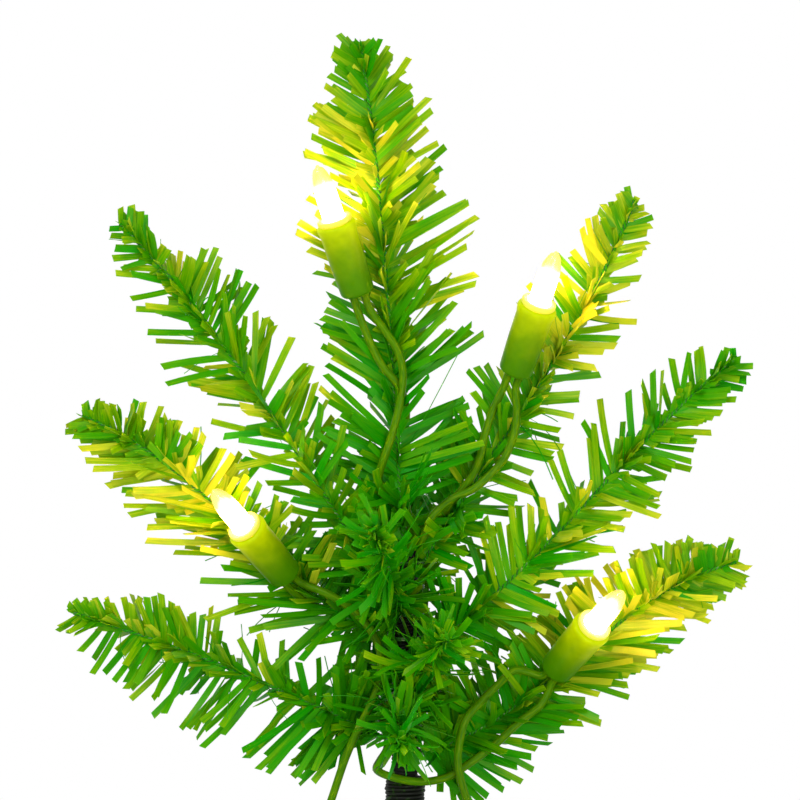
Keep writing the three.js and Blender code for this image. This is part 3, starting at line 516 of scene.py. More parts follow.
def light_scene(centre):
    """A white room seen by the camera and in reflections, an even pale light, and two soft boxes."""
    world = bpy.data.worlds.new("white_room")
    bpy.context.scene.world = world
    world.use_nodes = True
    world.node_tree.nodes.clear()
    add = partial(add_node, world.node_tree)
    ray = add("LightPath").outputs
    seen = add("Math", ray["Is Camera Ray"], ray["Is Glossy Ray"], operation="MAXIMUM")
    seen = add("Math", seen, ray["Is Transmission Ray"], operation="MAXIMUM")
    lit = add("Background", Color="#ffffff", Strength=0.58)
    white = add("Background", Color="#ffffff", Strength=1)
    add("OutputWorld", add("MixShader", seen, lit, white))
    add_soft_box("key_box", centre, (-550, -800, 600), 500, 7)
    add_soft_box("fill_box", centre, (350, -1000, -100), 600, 5)


def paper_look(add):
    """White paper that keeps the shadow near the base, and fades to the white of the room."""
    place = add("TexCoord").outputs["Object"]
    distance = add("VectorMath", place, operation="LENGTH").outputs["Value"]
    fade = add("MapRange", distance, From_Min=0.07, From_Max=0.2, interpolation_type="SMOOTHSTEP")
    factor = add("Math", fade, add("LightPath").outputs["Is Camera Ray"], operation="MULTIPLY")
    tint = add("ValToRGB", add("TexNoise", place, Scale=900), stops=[(0, "#f2f2f0"), (1, "#fbfbfa")])
    paper = add("BsdfPrincipled", Base_Color=tint, Roughness=0.9)
    white = add("Emission", Color="#ffffff", Strength=1)
    return add("MixShader", factor, paper, white)


def add_floor():
    disc = turned(profile_of((0.5, -2), (210, -2), (210, -0.02), (0.5, -0.02)))
    new_piece("paper_floor", disc, new_material("white_paper_sweep", paper_look))


# Materials. Their pattern scales are per metre, or per unit of the map.

def film_look(add):
    """PVC film, calendered, dyed through and slit into strips: satin, streaked along its length, and thin
    enough that light behind it shows through in a yellower green."""
    tone = add("Attribute", attribute_name="tone").outputs["Fac"]
    # Slitting and stretching leave lines along each strip, drawn 0.45 mm apart so that they show
    stretched = add("Mapping", add("UVMap", uv_map="surface_map"), Scale=(2.2, 0.09, 1))
    streaks = add("TexNoise", stretched, Scale=1, Detail=3, Roughness=0.6)
    shifted = add("Math", streaks, 0.5, operation="SUBTRACT")
    varied = add("Math", shifted, 0.9, tone, operation="MULTIPLY_ADD", use_clamp=True)
    front = add("ValToRGB", varied, stops=[
        (0, "#0ca400"), (0.25, "#2eaa00"), (0.5, "#4eac00"), (0.75, "#88bc00"), (1, "#ccd82c")])
    through = add("ValToRGB", varied, stops=[(0, "#3cb000"), (0.5, "#84c800"), (1, "#e4e800")])
    bump = add("Bump", Height=streaks, Strength=0.25, Distance=0.05 * MM)
    film = add("BsdfPrincipled", Base_Color=front, Roughness=0.34, IOR=1.53, Specular_IOR_Level=0.09,
               Normal=bump)
    return add("MixShader", 0.42, film, add("BsdfTranslucent", through))


def strand_wire_look(add):
    """Iron wire, drawn and dipped in dark green lacquer, worn bright in specks by the twisting."""
    wear = add("TexNoise", add("TexCoord").outputs["Object"], Scale=700, Detail=3)
    bare = add("ValToRGB", wear, stops=[(0.61, "#000000"), (0.69, "#ffffff")])
    tint = add("ValToRGB", wear, stops=[(0.3, "#1c5c00"), (0.6, "#2c7404"), (0.69, "#7c9c60")])
    return add("BsdfPrincipled", Base_Color=tint, Metallic=bare, Roughness=0.38, Specular_IOR_Level=0.25)


def moulded_green_look(add, toe, lip, glow, fade, start):
    """Polyethylene, injection moulded and dyed: cloudy and waxy, with a painted glow, though it is no lamp,
    for its lamp's light inside it. The painted glow in the wall falls off from the lip with a power of the
    height, which is the map's second coordinate, and from start on the dye's colour pales towards the lip, as
    painted light."""
    up = add("SeparateXYZ", add("UVMap", uv_map="surface_map")).outputs["Y"]
    cloud = add("TexNoise", add("TexCoord").outputs["Object"], Scale=240, Detail=2)
    spread = add("Math", cloud, 0.3, -0.15, operation="MULTIPLY_ADD")
    run = add("Math", up, spread, operation="ADD", use_clamp=True)
    # Painted light: from start on the dye's colour pales towards the lip, for the bulb's light in the wall
    tint = add("ValToRGB", run, stops=[(start, toe), (0.97, lip)])
    # Painted glow: the wall emits light falling off from the lip, though it is no lamp
    light = add("Math", add("Math", run, fade, operation="POWER"), glow, operation="MULTIPLY")
    return add("BsdfPrincipled", Base_Color=tint, Roughness=0.36, IOR=1.51, Specular_IOR_Level=0.05,
               Subsurface_Weight=0.3, Subsurface_Radius=(1, 1, 0.2), Subsurface_Scale=0.8 * MM,
               Emission_Color="#f6f000", Emission_Strength=light)


def bulb_look(add):
    """Soda-lime glass, drawn and tipped off: thin, clear and faintly streaked along its length. The
    filament's warm light fills the lower half, and painted glints glow faintly along the streaks, the only
    light on the drawn tip."""
    coordinates = add("UVMap", uv_map="surface_map")
    up = add("SeparateXYZ", coordinates).outputs["Y"]
    streaks = add("TexNoise", add("Mapping", coordinates, Scale=(26, 1.3, 1)), Scale=1, Detail=2)
    full = add("MapRange", up, From_Min=1.6, From_Max=1.2, interpolation_type="SMOOTHSTEP")
    power = add("MapRange", up, From_Min=0.96, From_Max=1.02, To_Min=4, To_Max=76)
    # Painted glints: the streaks glow faintly, for the filament's light glancing off them
    painted_glints = add("MapRange", streaks, From_Min=0.42, From_Max=0.66, To_Max=0.45)
    # The wall seen edge on is clear glass, so the light stands inside a paler rim
    edge = add("LayerWeight", Blend=0.5).outputs["Facing"]
    inside = add("MapRange", edge, From_Min=0.58, From_Max=0.3, interpolation_type="SMOOTHSTEP")
    held = add("Math", full, inside, operation="MULTIPLY")
    lamp = add("Math", held, power, operation="MULTIPLY")
    colour = add("ValToRGB", held, stops=[(0, "#fce65a"), (0.02, "#ffb488"), (1, "#ffb488")])
    return add("BsdfPrincipled", Base_Color="#fff0a0", Roughness=0.05, IOR=1.5, Transmission_Weight=0.75,
               Emission_Color=colour, Emission_Strength=add("Math", lamp, painted_glints, operation="ADD"),
               Normal=add("Bump", Height=streaks, Strength=0.4, Distance=0.2 * MM))


def filament_look(add):
    """Tungsten wire at white heat."""
    grain = add("TexNoise", add("TexCoord").outputs["Object"], Scale=2000)
    heat = add("MapRange", grain, To_Min=25, To_Max=40)
    return add("BsdfPrincipled", Base_Color="#b8b4aa", Metallic=1, Roughness=0.3, Emission_Color="#ffe2a0",
               Emission_Strength=heat)


def cord_look(add):
    """PVC cord jacket, extruded in moss green: semi-gloss, with faint lengthwise draw lines."""
    stretched = add("Mapping", add("UVMap", uv_map="surface_map"), Scale=(14, 3, 1))
    lines = add("TexNoise", stretched, Scale=1, Detail=3)
    tint = add("ValToRGB", lines, stops=[(0.2, "#2c6000"), (0.5, "#467800"), (0.8, "#6c8a00")])
    return add("BsdfPrincipled", Base_Color=tint, Roughness=0.36, IOR=1.53, Specular_IOR_Level=0.04,
               Subsurface_Weight=0.1, Subsurface_Radius=(0.6, 1, 0.1), Subsurface_Scale=0.5 * MM,
               Normal=add("Bump", Height=lines, Strength=0.3, Distance=0.06 * MM))


def thread_look(add):
    """Waxed polyester thread, spun and wound tight: black, with green specks that are painted glints."""
    place = add("TexCoord").outputs["Object"]
    # Painted highlights: the green specks in the black stand for green glints on the thread
    tint = add("ValToRGB", add("TexNoise", place, Scale=520, Detail=2), stops=[
        (0, "#040704"), (0.56, "#0a0e05"), (0.66, "#1c3806"), (0.74, "#3f8208")])
    # The bumps stand for spun fibres, about 0.3 mm apart
    fibres = add("TexNoise", place, Scale=3000, Detail=2)
    bump = add("Bump", Height=fibres, Strength=0.5, Distance=0.08 * MM)
    return add("BsdfPrincipled", Base_Color=tint, Roughness=0.5, Specular_IOR_Level=0.14, Normal=bump)


def moulded_look(add, dark, light, grain_scale, roughness, depth):
    """Moulded plastic or rubber with the fine even texture of a spark-eroded mould."""
    place = add("TexCoord").outputs["Object"]
    grain = add("TexNoise", place, Scale=grain_scale, Detail=2)
    tint = add("ValToRGB", add("TexNoise", place, Scale=25), stops=[(0.3, dark), (0.7, light)])
    rough = add("MapRange", grain, To_Min=roughness - 0.08, To_Max=roughness + 0.08)
    bump = add("Bump", Height=grain, Strength=0.4, Distance=depth * MM)
    return add("BsdfPrincipled", Base_Color=tint, Roughness=rough, Normal=bump)


def metal_look(add, dark, light, roughness, metallic=1, scale=400):
    """Bare metal, rolled or cast: its shade and gloss wander with handling."""
    handling = add("TexNoise", add("TexCoord").outputs["Object"], Scale=scale, Detail=4)
    tint = add("ValToRGB", handling, stops=[(0.3, dark), (0.7, light)])
    rough = add("MapRange", handling, To_Min=roughness - 0.1, To_Max=roughness + 0.1)
    bump = add("Bump", Height=handling, Strength=0.3, Distance=0.05 * MM)
    return add("BsdfPrincipled", Base_Color=tint, Metallic=metallic, Roughness=rough, Normal=bump)


def cell_look(add):
    """A steel can in a printed sleeve under gloss varnish: two plain bands, the narrow one at the nub."""
    up = add("SeparateXYZ", add("UVMap", uv_map="surface_map")).outputs["Y"]
    band = add("ValToRGB", up, stops=[
        (0, "#c0c0bc"), (0.12, "#c0c0bc"), (0.121, "#23303a"), (0.68, "#23303a"), (0.681, "#3f8a4a"),
        (0.86, "#3f8a4a"), (0.861, "#c0c0bc"), (1, "#c0c0bc")])
    band.color_ramp.interpolation = "CONSTANT"
    return add("BsdfPrincipled", Base_Color=band, Metallic=0.4, Roughness=0.28, Coat_Weight=0.5)


# Needles

def clear_of(points, gap):
    """Whether each strip (strips, stations, 3) keeps clear of the lamps and the cords."""
    clear = np.ones(len(points), bool)
    for axes, toe in lamp_frames.values():
        local = (points - toe) @ axes
        reach, height = np.hypot(local[..., 0], local[..., 1]), local[..., 2]
        husk = (reach < HUSK_RADIUS + gap) & (height > -gap) & (height < HUSK_LENGTH)
        bulb = (reach < BULB_RADIUS + gap) & (height > 0) & (height < HUSK_LENGTH + BULB_REACH)
        clear &= ~(husk | bulb).any(1)
    for path in cord_paths.values():
        spots = path[::2]
        spots = spots[np.abs(spots - points.reshape(-1, 3).mean(0)).max(1) < NEAR_TWIG]
        if len(spots):
            apart = np.linalg.norm(points[:, :, None] - spots, axis=-1).min(2)
            clear &= ~(apart < CORD_RADIUS + gap / 2).any(1)
    return clear


def strip_points(strips, t):
    """Middle line of each strip at shares t: straight along its run, bent by the square of t."""
    t = t[:, None]
    reach = strips["length"][:, None, None] * t
    return strips["root"][:, None] + reach * (strips["run"][:, None] + t * strips["bend"][:, None])


def strip_shape(strips):
    """A thin box carried along each strip's line. Its width turns from flat by the twist, and its end is
    cut on the slant. Four corners at each station, all strips at once."""
    t = STRIP_STATIONS
    points = strip_points(strips, t)
    run, bend, face, length, width, roll, twist, slant, seed = [strips[key][:, None] for key in (
        "run", "bend", "face", "length", "width", "roll", "twist", "slant", "seed")]
    ahead = unit(run + 2 * t[:, None] * bend)
    face = unit(face - ahead * (face * ahead).sum(-1, keepdims=True))
    flat = np.cross(face, ahead)
    turn = (roll + twist * t)[..., None]
    wide = np.cos(turn) * flat + np.sin(turn) * face
    thick = np.cos(turn) * face - np.sin(turn) * flat
    half = (width * np.interp(t, [0, 0.16, 1], [0.65, 1, 1]) / 2)[..., None]
    corners = np.stack([
        points + a * half * wide + b * STRIP_THICKNESS / 2 * thick
        for a, b in ((1, 1), (-1, 1), (-1, -1), (1, -1))], 2)
    corners[:, -1] += (slant * width / 2)[..., None] * ahead[:, -1:] * np.array([1, -1, -1, 1])[:, None]
    here = np.arange(corners[..., 0].size).reshape(corners.shape[:3])
    beside = np.roll(here, -1, axis=2)
    sides = np.stack([here[:, :-1], beside[:, :-1], beside[:, 1:], here[:, 1:]], -1)
    quads = np.concatenate([sides.reshape(-1, 4), here[:, 0, ::-1], here[:, -1]])
    u = np.array([1, 0, 0, 1]) * width[..., None] + seed[..., None]
    uv = np.stack(np.broadcast_arrays(u, (length * t)[..., None]), -1)
    return corners.reshape(-1, 3), [quads], uv.reshape(-1, 2)[quads.ravel()]


def painted_lamplight(points):
    """Painted lamplight: how much yellower film at these points is made, for the bulbs' light on it, by a
    bell curve of the distance from a bulb.
    """
    centres = np.array([in_lamp(name, [0, 0, COIL_TOP]) for name in LAMPS])
    apart = np.linalg.norm(points[:, None] - centres, axis=-1)
    return LAMPLIGHT_TONE * np.exp(-(apart / [reach for _, reach in LAMPS.values()])**2).max(1)


def rooted(line, share, roll, lean):
    """Where strips leave a twig, and the directions along it, out of it, sideways and along each strip."""
    root, ahead, over, side = at_share(line, share)
    out = np.cos(roll)[:, None] * over + np.sin(roll)[:, None] * side
    run = np.cos(lean)[:, None] * ahead + np.sin(lean)[:, None] * out
    return root, ahead, out, np.cross(ahead, out), run


def strips_from(line, plan, rng, share, roll, lean, reach, size, spread, loose=USUAL["loose"]):
    """Strips of groups that leave the twig at given shares of it, rolls round it, leans and lengths. The
    strips of a group lie side by side, and fan out and end unevenly. Loose ones are turned on edge."""
    count = len(share)
    # Painted shade gives film near the trunk's middle a darker, deeper green, and painted lamplight gives
    # film near a bulb a yellower tone
    place = at_share(line, share)[0]
    painted_shade = np.exp(-(place[:, 0] / SHADE_REACH)**2) * (place[:, 2] < SHADE_TOP)
    tone = rng.normal(plan["tone"], 0.1, count) - 0.22 * painted_shade
    twist = rng.normal(0, 0.35, count)
    first = np.repeat(np.arange(count), size)
    order = np.concatenate([np.arange(k) - (k - 1) / 2 for k in size])
    total = len(first)
    share = np.clip(share[first] + order * spread * STRIP_WIDTH / line["length"], 0.004, 0.998)
    roll = roll[first] + rng.normal(0, 0.08, total)
    lean = lean[first] - order * np.radians(2.6) + np.radians(rng.normal(0, 2, total))
    root, ahead, out, face, run = rooted(line, share, roll, lean)
    length = reach[first] * rng.uniform(0.84 - 0.3 * (loose > 0.5), 1.05, total)
    # Painted lamplight: film near a bulb is given a yellower and more varied tone, for the bulb's light on it
    painted_light = painted_lamplight(root + run * length[:, None] / 2)
    tone = np.clip(tone[first] + rng.normal(0, 0.08, total) * (1 + 6 * painted_light) + painted_light, 0, 1)
    wild = rng.uniform(0, 1, total) < 0.1
    bow = np.where(wild, rng.normal(0, 0.3, total), rng.normal(0, 0.28 * loose, total))
    return dict(
        root=root + out * 0.2, run=run, face=face, length=length, tone=tone,
        bend=rng.normal(0.02, 0.05, total)[:, None] * ahead + bow[:, None] * face,
        width=STRIP_WIDTH * rng.uniform(0.88, 1.06, total),
        roll=rng.normal(0, loose, total) + np.where(wild, rng.normal(0, 0.9, total), 0),
        twist=twist[first] + rng.normal(0, 0.15, total),
        slant=rng.normal(0, 0.35, total),
        seed=rng.uniform(0, 400, total))


def comb_strips(line, plan, rng):
    """The strips caught in one twig, turn by turn. Most lie flat to both sides, the rest stand all round."""
    groups = int((1 - BARE_ROOT) * line["length"] / GROUP_PITCH * plan["fill"])
    count = 2 * groups
    half = np.repeat([0, np.pi], groups)
    place = (np.tile(np.arange(groups), 2) + rng.uniform(0, 1, count)) / groups
    share = BARE_ROOT + (1 - BARE_ROOT) * place
    flat = rng.uniform(0, 1, count) < plan["flat"]
    roll = half + np.where(flat, rng.normal(0, 0.42, count), rng.uniform(-1.57, 1.57, count))
    (upper, lower), (upper_lean, lower_lean) = plan["comb"]
    above = (np.cos(roll) + 1) / 2
    lean = np.radians(rng.normal(0, plan["stray"], count) + lower_lean + (upper_lean - lower_lean) * above)
    lean = lean * np.interp(share, [0, 0.8, 1], [1.05, 0.98, plan["tip_lean"]])
    reach = (lower + (upper - lower) * above) * np.interp(share, TAPER_SHARES, TAPER)
    reach = reach * rng.uniform(0.8, 1.04, count) * np.where(flat, 1, 0.85)
    size = rng.choice([1, 2, 3, 4], count, p=[0.28, 0.36, 0.25, 0.11])
    size = np.where((half > 0) & (rng.uniform(0, 1, count) < plan["single"]), 1, size)
    return strips_from(line, plan, rng, share, roll, lean, reach, size, 0.95, plan["loose"])


def stub_strips(line, plan, rng):
    """Short ends that stand all round the wires and hide them, and a tuft of longer ones at the root."""
    count = int(line["length"] / STUB_PITCH)
    total = count + plan["tuft"]
    stub = np.arange(total) < count
    share = np.concatenate([rng.uniform(0, 1, count), rng.uniform(0, 0.16, plan["tuft"])])
    short = np.where(stub, rng.uniform(0.18, 0.5, total), rng.uniform(0.5, 0.95, total))
    roll = rng.uniform(0, 2 * np.pi, total)
    lean = np.radians(np.where(stub, rng.uniform(14, 75, total), rng.uniform(50, 115, total)))
    reach = max(plan["comb"][0]) * short * np.interp(share, TAPER_SHARES, TAPER)
    size = rng.choice([1, 2], total, p=[0.7, 0.3])
    return strips_from(line, plan, rng, share, roll, lean, reach, size, 0.8)


def hair_strips(line, plan, rng):
    """Slivers left by the slitting: hair-thin, long, bent and twisted."""
    total = plan["hairs"]
    share = rng.uniform(BARE_ROOT, 0.9, total)
    roll = rng.uniform(0, 2 * np.pi, total)
    lean = np.radians(rng.uniform(35, 100, total))
    root, ahead, _, face, run = rooted(line, share, roll, lean)
    return dict(
        root=root, run=run, face=face, slant=np.zeros(total),
        bend=rng.normal(0, 0.35, total)[:, None] * ahead + rng.normal(0, 0.35, total)[:, None] * face,
        length=np.interp(share, [0, 1], [24, 10]) * rng.uniform(0.5, 1.1, total),
        width=HAIR_WIDTH * rng.uniform(0.7, 1.6, total),
        roll=rng.uniform(-1.5, 1.5, total),
        twist=rng.normal(0, 1.5, total),
        tone=rng.uniform(0, 0.3, total),
        seed=rng.uniform(0, 400, total))


def twisted_strands(line, radius, offset, starts):
    """Round sections twisted about the twig's line: each one's middle runs on a helix of the given offset,
    and starts name the turn where each helix begins."""
    turns = line["length"] / STRAND_PITCH
    share = np.linspace(0, 1, int(turns * 9))
    place, _, over, side = at_share(line, share)
    angle = full_turn(6)[:, None]
    parts = []
    for start in starts:
        spin = (2 * np.pi * turns * share + start)[:, None]
        out = np.cos(spin) * over + np.sin(spin) * side
        middle = place + offset * out
        run = unit(np.gradient(middle, axis=0))
        out = unit(out - run * (out * run).sum(-1, keepdims=True))
        ring = np.cos(angle) * out[:, None] + np.sin(angle) * np.cross(run, out)[:, None]
        parts.append(surface(middle[:, None] + radius * ring))
    return parts


def root_loop(line):
    """The two wires' ends, bent round the trunk for one and a half turns."""
    t = np.linspace(0, 1, 60)
    climb = 1.4 * STRAND_RADIUS * (2 * t - 1)
    path = around(RING_RADIUS, line["turn"] + 3 * np.pi * t, line["points"][0, 2] + climb)
    return tube(path, 1.15 * STRAND_RADIUS, 8)


def dress_twig(name, film, wire, seed):
    rng = np.random.default_rng(seed)
    line = twig_line(name)
    body, plan = (name, TWIGS[name][-1]) if name in TWIGS else ("tree", LEADER_PLAN)
    sets = [maker(line, plan, rng) for maker in (comb_strips, stub_strips, hair_strips)]
    strips = {key: np.concatenate([one[key] for one in sets]) for key in sets[0]}
    # A strip that would cross a lamp or a cord is laid back behind the twig, and left out if it still crosses
    spots = np.linspace(0.12, 1, 10)
    crossing = ~clear_of(strip_points(strips, spots), STRIP_GAP)
    for key in ("run", "bend"):
        strips[key][crossing, 1] = abs(strips[key][crossing, 1])
    clear = clear_of(strip_points(strips, spots), STRIP_GAP)
    strips = {key: values[clear] for key, values in strips.items()}
    # The middles of the strips, squeezed between the wires, fill the two grooves of the twist
    squeezed = twisted_strands(line, 1.15 * STRAND_RADIUS, 1.2 * STRAND_RADIUS, (np.pi / 2, 3 * np.pi / 2))
    squeezed = [(places, faces, uv * [4, line["length"]]) for places, faces, uv in squeezed]
    shape = joined([strip_shape(strips), *squeezed])
    # Each strip's tone rises towards its free end, so it is lighter there
    tone = np.repeat((strips["tone"][:, None] + 0.2 * STRIP_STATIONS**2).ravel(), 4)
    tone = np.concatenate([tone, rng.uniform(0, 0.5, len(shape[0]) - len(tone))])
    parts = twisted_strands(line, STRAND_RADIUS, STRAND_RADIUS, (0, np.pi))
    if name in TWIGS:
        parts.append(root_loop(line))
    label = name.replace("twig_", "").replace("_twig", "")
    new_piece(f"needles_{label}", shape, film, body, name, {"tone": tone}, sharp=30)
    new_piece(f"strands_{label}", joined(parts), wire, body, name)


def dress_twigs():
    film = new_material("pvc_film_slit", film_look)
    wire = new_material("lacquered_iron_wire", strand_wire_look)
    for seed, name in enumerate(["leader_twig", *TWIGS], FIRST_SEED):
        dress_twig(name, film, wire, seed)


# Lamps

def husk_shape():
    """A slightly tapered cup with a round toe, a rounded lip and a straight bore."""
    lip = HUSK_RADIUS + 0.4
    return profile_of(
        (AXIS, 0), (2.2, 0), arc(3.2, 1.5, 1.5, -85, -8, 7), (HUSK_RADIUS - 0.08, HUSK_LENGTH * 0.5),
        (HUSK_RADIUS, HUSK_LENGTH - 3.1), (HUSK_RADIUS + 0.14, HUSK_LENGTH - 2.4),
        (lip - 0.12, HUSK_LENGTH - 1.8), arc(lip - 0.8, HUSK_LENGTH - 0.8, 0.8, 0, 90, 7),
        arc(4.5, HUSK_LENGTH - 0.3, 0.3, 90, 180, 4), (4.2, HUSK_LENGTH - SOCKET_DEPTH),
        (AXIS, HUSK_LENGTH - SOCKET_DEPTH))


def lamp_base_shape():
    """The plug that holds the glass: a stem, a cup and a collar that sits on the husk's lip."""
    bottom, cup, top = HUSK_LENGTH - 15, HUSK_LENGTH - 5.4, HUSK_LENGTH + CLEARANCE
    return profile_of(
        (AXIS, bottom), (2.4, bottom), (2.7, bottom + 0.3), (2.7, cup - 1.2), (3.95, cup - 0.6), (3.95, top),
        (4.5, top), arc(4.5, top + 0.3, 0.3, -90, 0, 3), arc(4.4, top + 0.9, 0.4, 0, 90, 5),
        arc(3.6, top + 1.1, 0.2, 90, 180, 3), (3.35, cup), (AXIS, cup))


def bulb_shape():
    """A thin envelope and the same inside its wall. Its radius holds to the shoulder, then closes as the
    power 0.6 of a parabola, down to the pip where it was drawn off."""
    top = HUSK_LENGTH + BULB_REACH
    shoulder, pip, wall = 0.6, 0.5, 0.4
    t = np.concatenate([np.linspace(0, shoulder, 8, endpoint=False), np.linspace(shoulder, 0.955, 22)])
    height = BULB_FOOT + (top - BULB_FOOT) * t
    closing = 1 - np.clip((t - shoulder) / (1 - shoulder), 0, 1) ** 2
    radius = (BULB_RADIUS - 0.4 * pip) * closing**0.6 + 0.4 * pip
    inner = radius > 1.2
    return profile_of(
        np.stack([radius, height], -1), arc(AXIS, top - pip, pip, 0, 80, 5),
        np.stack([radius[inner] - wall, np.maximum(height[inner] - wall, BULB_FOOT)], -1)[::-1],
        (AXIS, BULB_FOOT))


def filament_shape():
    """Two lead wires that part at the top, and the coil between their ends: a helix on an arch."""
    parts = []
    for side in (-1, 1):
        path = np.array([[side * 0.8, 0, BULB_FOOT], [side * 0.8, 0, (BULB_FOOT + COIL_TOP) / 2],
                         [side, 0, COIL_TOP]])
        parts.append(tube(even_steps(path, 1.2), 0.16, 8))
    t = np.linspace(0, 1, 110)
    spin = 2 * np.pi * 11 * t
    height = COIL_TOP + 0.5 * np.sin(np.pi * t) + 0.22 * np.sin(spin)
    parts.append(tube(np.stack([2 * t - 1, 0.22 * np.cos(spin), height], -1), 0.06, 5))
    return joined(parts)


def placed(shape, name):
    """A shape made along the lamp's axis, in its place. Its map gives the turn round the axis and the
    height above the toe, in husk lengths."""
    places, faces, uv = with_height(shape, 0, HUSK_LENGTH)
    return in_lamp(name, places), faces, uv


def dress_lamps():
    glass = new_material("clear_drawn_glass", bulb_look)
    hot = new_material("tungsten_white_hot", filament_look)
    # The husk's and the plug's colours pale towards the bulb and glow, as painted light; the plug's cream top
    # is painted light
    husk = new_material("dyed_polyethylene_husk", moulded_green_look, "#3f7c00", "#608c00", 0.55, 3, 0.05)
    plug = new_material("dyed_polyethylene_plug", moulded_green_look, "#6c9000", "#ccc85c", 0.35, 6, 0.84)
    brass = new_material("rolled_spring_brass", metal_look, "#a8802c", "#d8b45c", 0.3)
    ring = around(CORD_RADIUS + CLEARANCE, full_turn(20), 0)[:, :2]
    bores = [prism(ring + [side * WIRE_SPACING / 2, 0], -1, HUSK_LENGTH - SOCKET_DEPTH + 1)
             for side in (-1, 1)]
    socket = turned(husk_shape(), 56)
    plugged_in = [
        ("plug", turned(lamp_base_shape(), 56), plug, "lamp_base", "plug_plastic", 35),
        ("glass", turned(bulb_shape(), 48), glass, "bulb", "bulb_glass", 60),
        ("coil", filament_shape(), hot, "filament", "filament_steel", 60)]
    for name, (body, _) in LAMPS.items():
        piece = new_piece(f"socket_{name}", placed(socket, name), husk, body, f"husk_{name}")
        cut_bores(piece, [placed(bore, name) for bore in bores])
        for part, shape, material, node, slot, sharp in plugged_in:
            new_piece(f"{part}_{name}", placed(shape, name), material, f"lamp_{name}", f"{node}_{name}",
                      sharp=sharp)
        finish_node(f"contact_a_{name}", brass)
        finish_node(f"contact_b_{name}", brass)
    finish_node("contact_plate_front", brass)
    finish_node("contact_plate_back", brass)


# Cords

def dress_cords():
    jacket = new_material("pvc_cord_jacket", cord_look)
    for name, (_, _, _, twig, start, end) in CORDS.items():
        places, faces, uv = tube(cord_paths[name], CORD_RADIUS, 16)
        centimetres = len(cord_paths[name]) * CORD_STEP / 10
        piece = new_piece(f"cord_{name.replace('wire_', '')}", (places, faces, uv * [1, centimetres]), jacket,
                          node=name)
        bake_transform(piece)


# Trunk

def dress_trunk():
    """The bound stem: a column whose radius swells with each turn of thread, by a sine without its sign
    along a helix. Then a second layer of thread over its lower part."""
    thread = new_material("waxed_black_thread", thread_look)
    foot, top = [corner.z for corner in box("trunk_core")]
    height = np.linspace(foot, top, int((top - foot) / THREAD_PITCH * 5))[:, None]
    angle = full_turn(28)
    wave = np.abs(np.sin(np.pi * (height / THREAD_PITCH - angle / (2 * np.pi))))
    lumps = 0.22 * np.sin(2 * angle + height * 0.24) + 0.12 * np.sin(5 * angle - height * 0.51)
    radius = TRUNK_RADIUS - 0.45 + 0.3 * wave + lumps * 0.6
    new_piece("bound_stem", surface(around(radius, angle, height)), thread, "tree", "trunk_core")

    low, high = box("trunk_winding")
    length = high.z + WINDING_EXTRA - low.z - 1.6
    turns = length / THREAD_PITCH
    t = np.linspace(0, 1, int(turns * 22))
    angle = 2 * np.pi * turns * t
    wander = 0.14 * np.sin(angle * 0.31) + 0.1 * np.sin(angle * 0.117 + 1)
    height = low.z + 0.8 + length * t + wander * 0.6
    # The first turns lie closer in, where the thread's end is tucked under
    reach = high.x - 0.6 + wander - 0.5 * np.clip((0.08 - t) / 0.08, 0, 1)
    new_piece("binding_thread", tube(around(reach, angle, height), THREAD_PITCH * 0.56, 7), thread, "tree",
              "trunk_winding", sharp=70)


# Base

def moved(shape, x):
    return shape[0] + [x, 0, 0], *shape[1:]


def dress_housing(plastic):
    """A moulded shell with a boss that holds the trunk, holes for the grommets and the knob's slot."""
    edge, wall, rim, boss, boss_foot, seat = 4, 2.4, 2, 9, 21.8, 23.8
    boss_top = box("base_housing")[1].z
    deck = BASE_HEIGHT - wall
    bore = TRUNK_RADIUS + 0.4
    shell = profile_of(
        (AXIS, boss_foot), (boss, boss_foot), (boss, deck), (BASE_TOP_RADIUS - edge, deck),
        (BASE_TOP_RADIUS - wall + 0.6, BASE_HEIGHT - edge - wall), (BASE_BOTTOM_RADIUS - wall, rim),
        (BASE_BOTTOM_RADIUS - 0.5, rim), (BASE_BOTTOM_RADIUS, rim + 0.5),
        arc(BASE_TOP_RADIUS - edge, BASE_HEIGHT - edge, edge, 6, 90, 10), (boss + 2, BASE_HEIGHT),
        arc(boss + 1.2, BASE_HEIGHT + 1.2, 1.2, 270, 190, 5), arc(boss - 1.7, boss_top - 0.8, 0.8, 10, 90, 5),
        (bore + 0.4, boss_top), (bore, boss_top - 0.4), (bore, seat), (AXIS, seat))
    housing = new_piece("housing_shell", turned(shell, 160), plastic, "tree", "base_housing")
    below, above = deck - 1, BASE_HEIGHT + 1
    hole = turned(profile_of((AXIS, below), (3.3, below), (3.3, above), (AXIS, above)), 32)
    low, high = box("switch_slider")
    middle = (low.y + high.y) / 2
    slot = prism(block(-1.8 - SWITCH_TRAVEL, 1.8, middle - 1.4, middle + 1.4), below, above)
    cut_bores(housing, [moved(hole, -GROMMET_PLACE), moved(hole, GROMMET_PLACE), slot])


def dress_foot(rubber):
    high = box("foot_ring")[1]
    inner = high.x - 9
    foot = profile_of(arc(inner + 0.4, 0.4, 0.4, 180, 270, 4), arc(high.x - 0.4, 0.4, 0.4, 270, 360, 4),
                      (high.x, high.z), (inner, high.z))
    new_piece("rubber_foot", turned(foot, 128, wrap_rows=True), rubber, "tree", "foot_ring")


def dress_ballast(iron):
    inner, edge = 39.5, 1
    low, high = box("ballast_ring")
    left, right, bottom, top = inner + edge, high.x - edge, low.z + edge, high.z - edge
    ballast = profile_of(arc(left, bottom, edge, 180, 270, 4), arc(right, bottom, edge, 270, 360, 4),
                         arc(right, top, edge, 0, 90, 4), arc(left, top, edge, 90, 180, 4))
    new_piece("iron_ballast", turned(ballast, wrap_rows=True), iron, "tree", "ballast_ring")


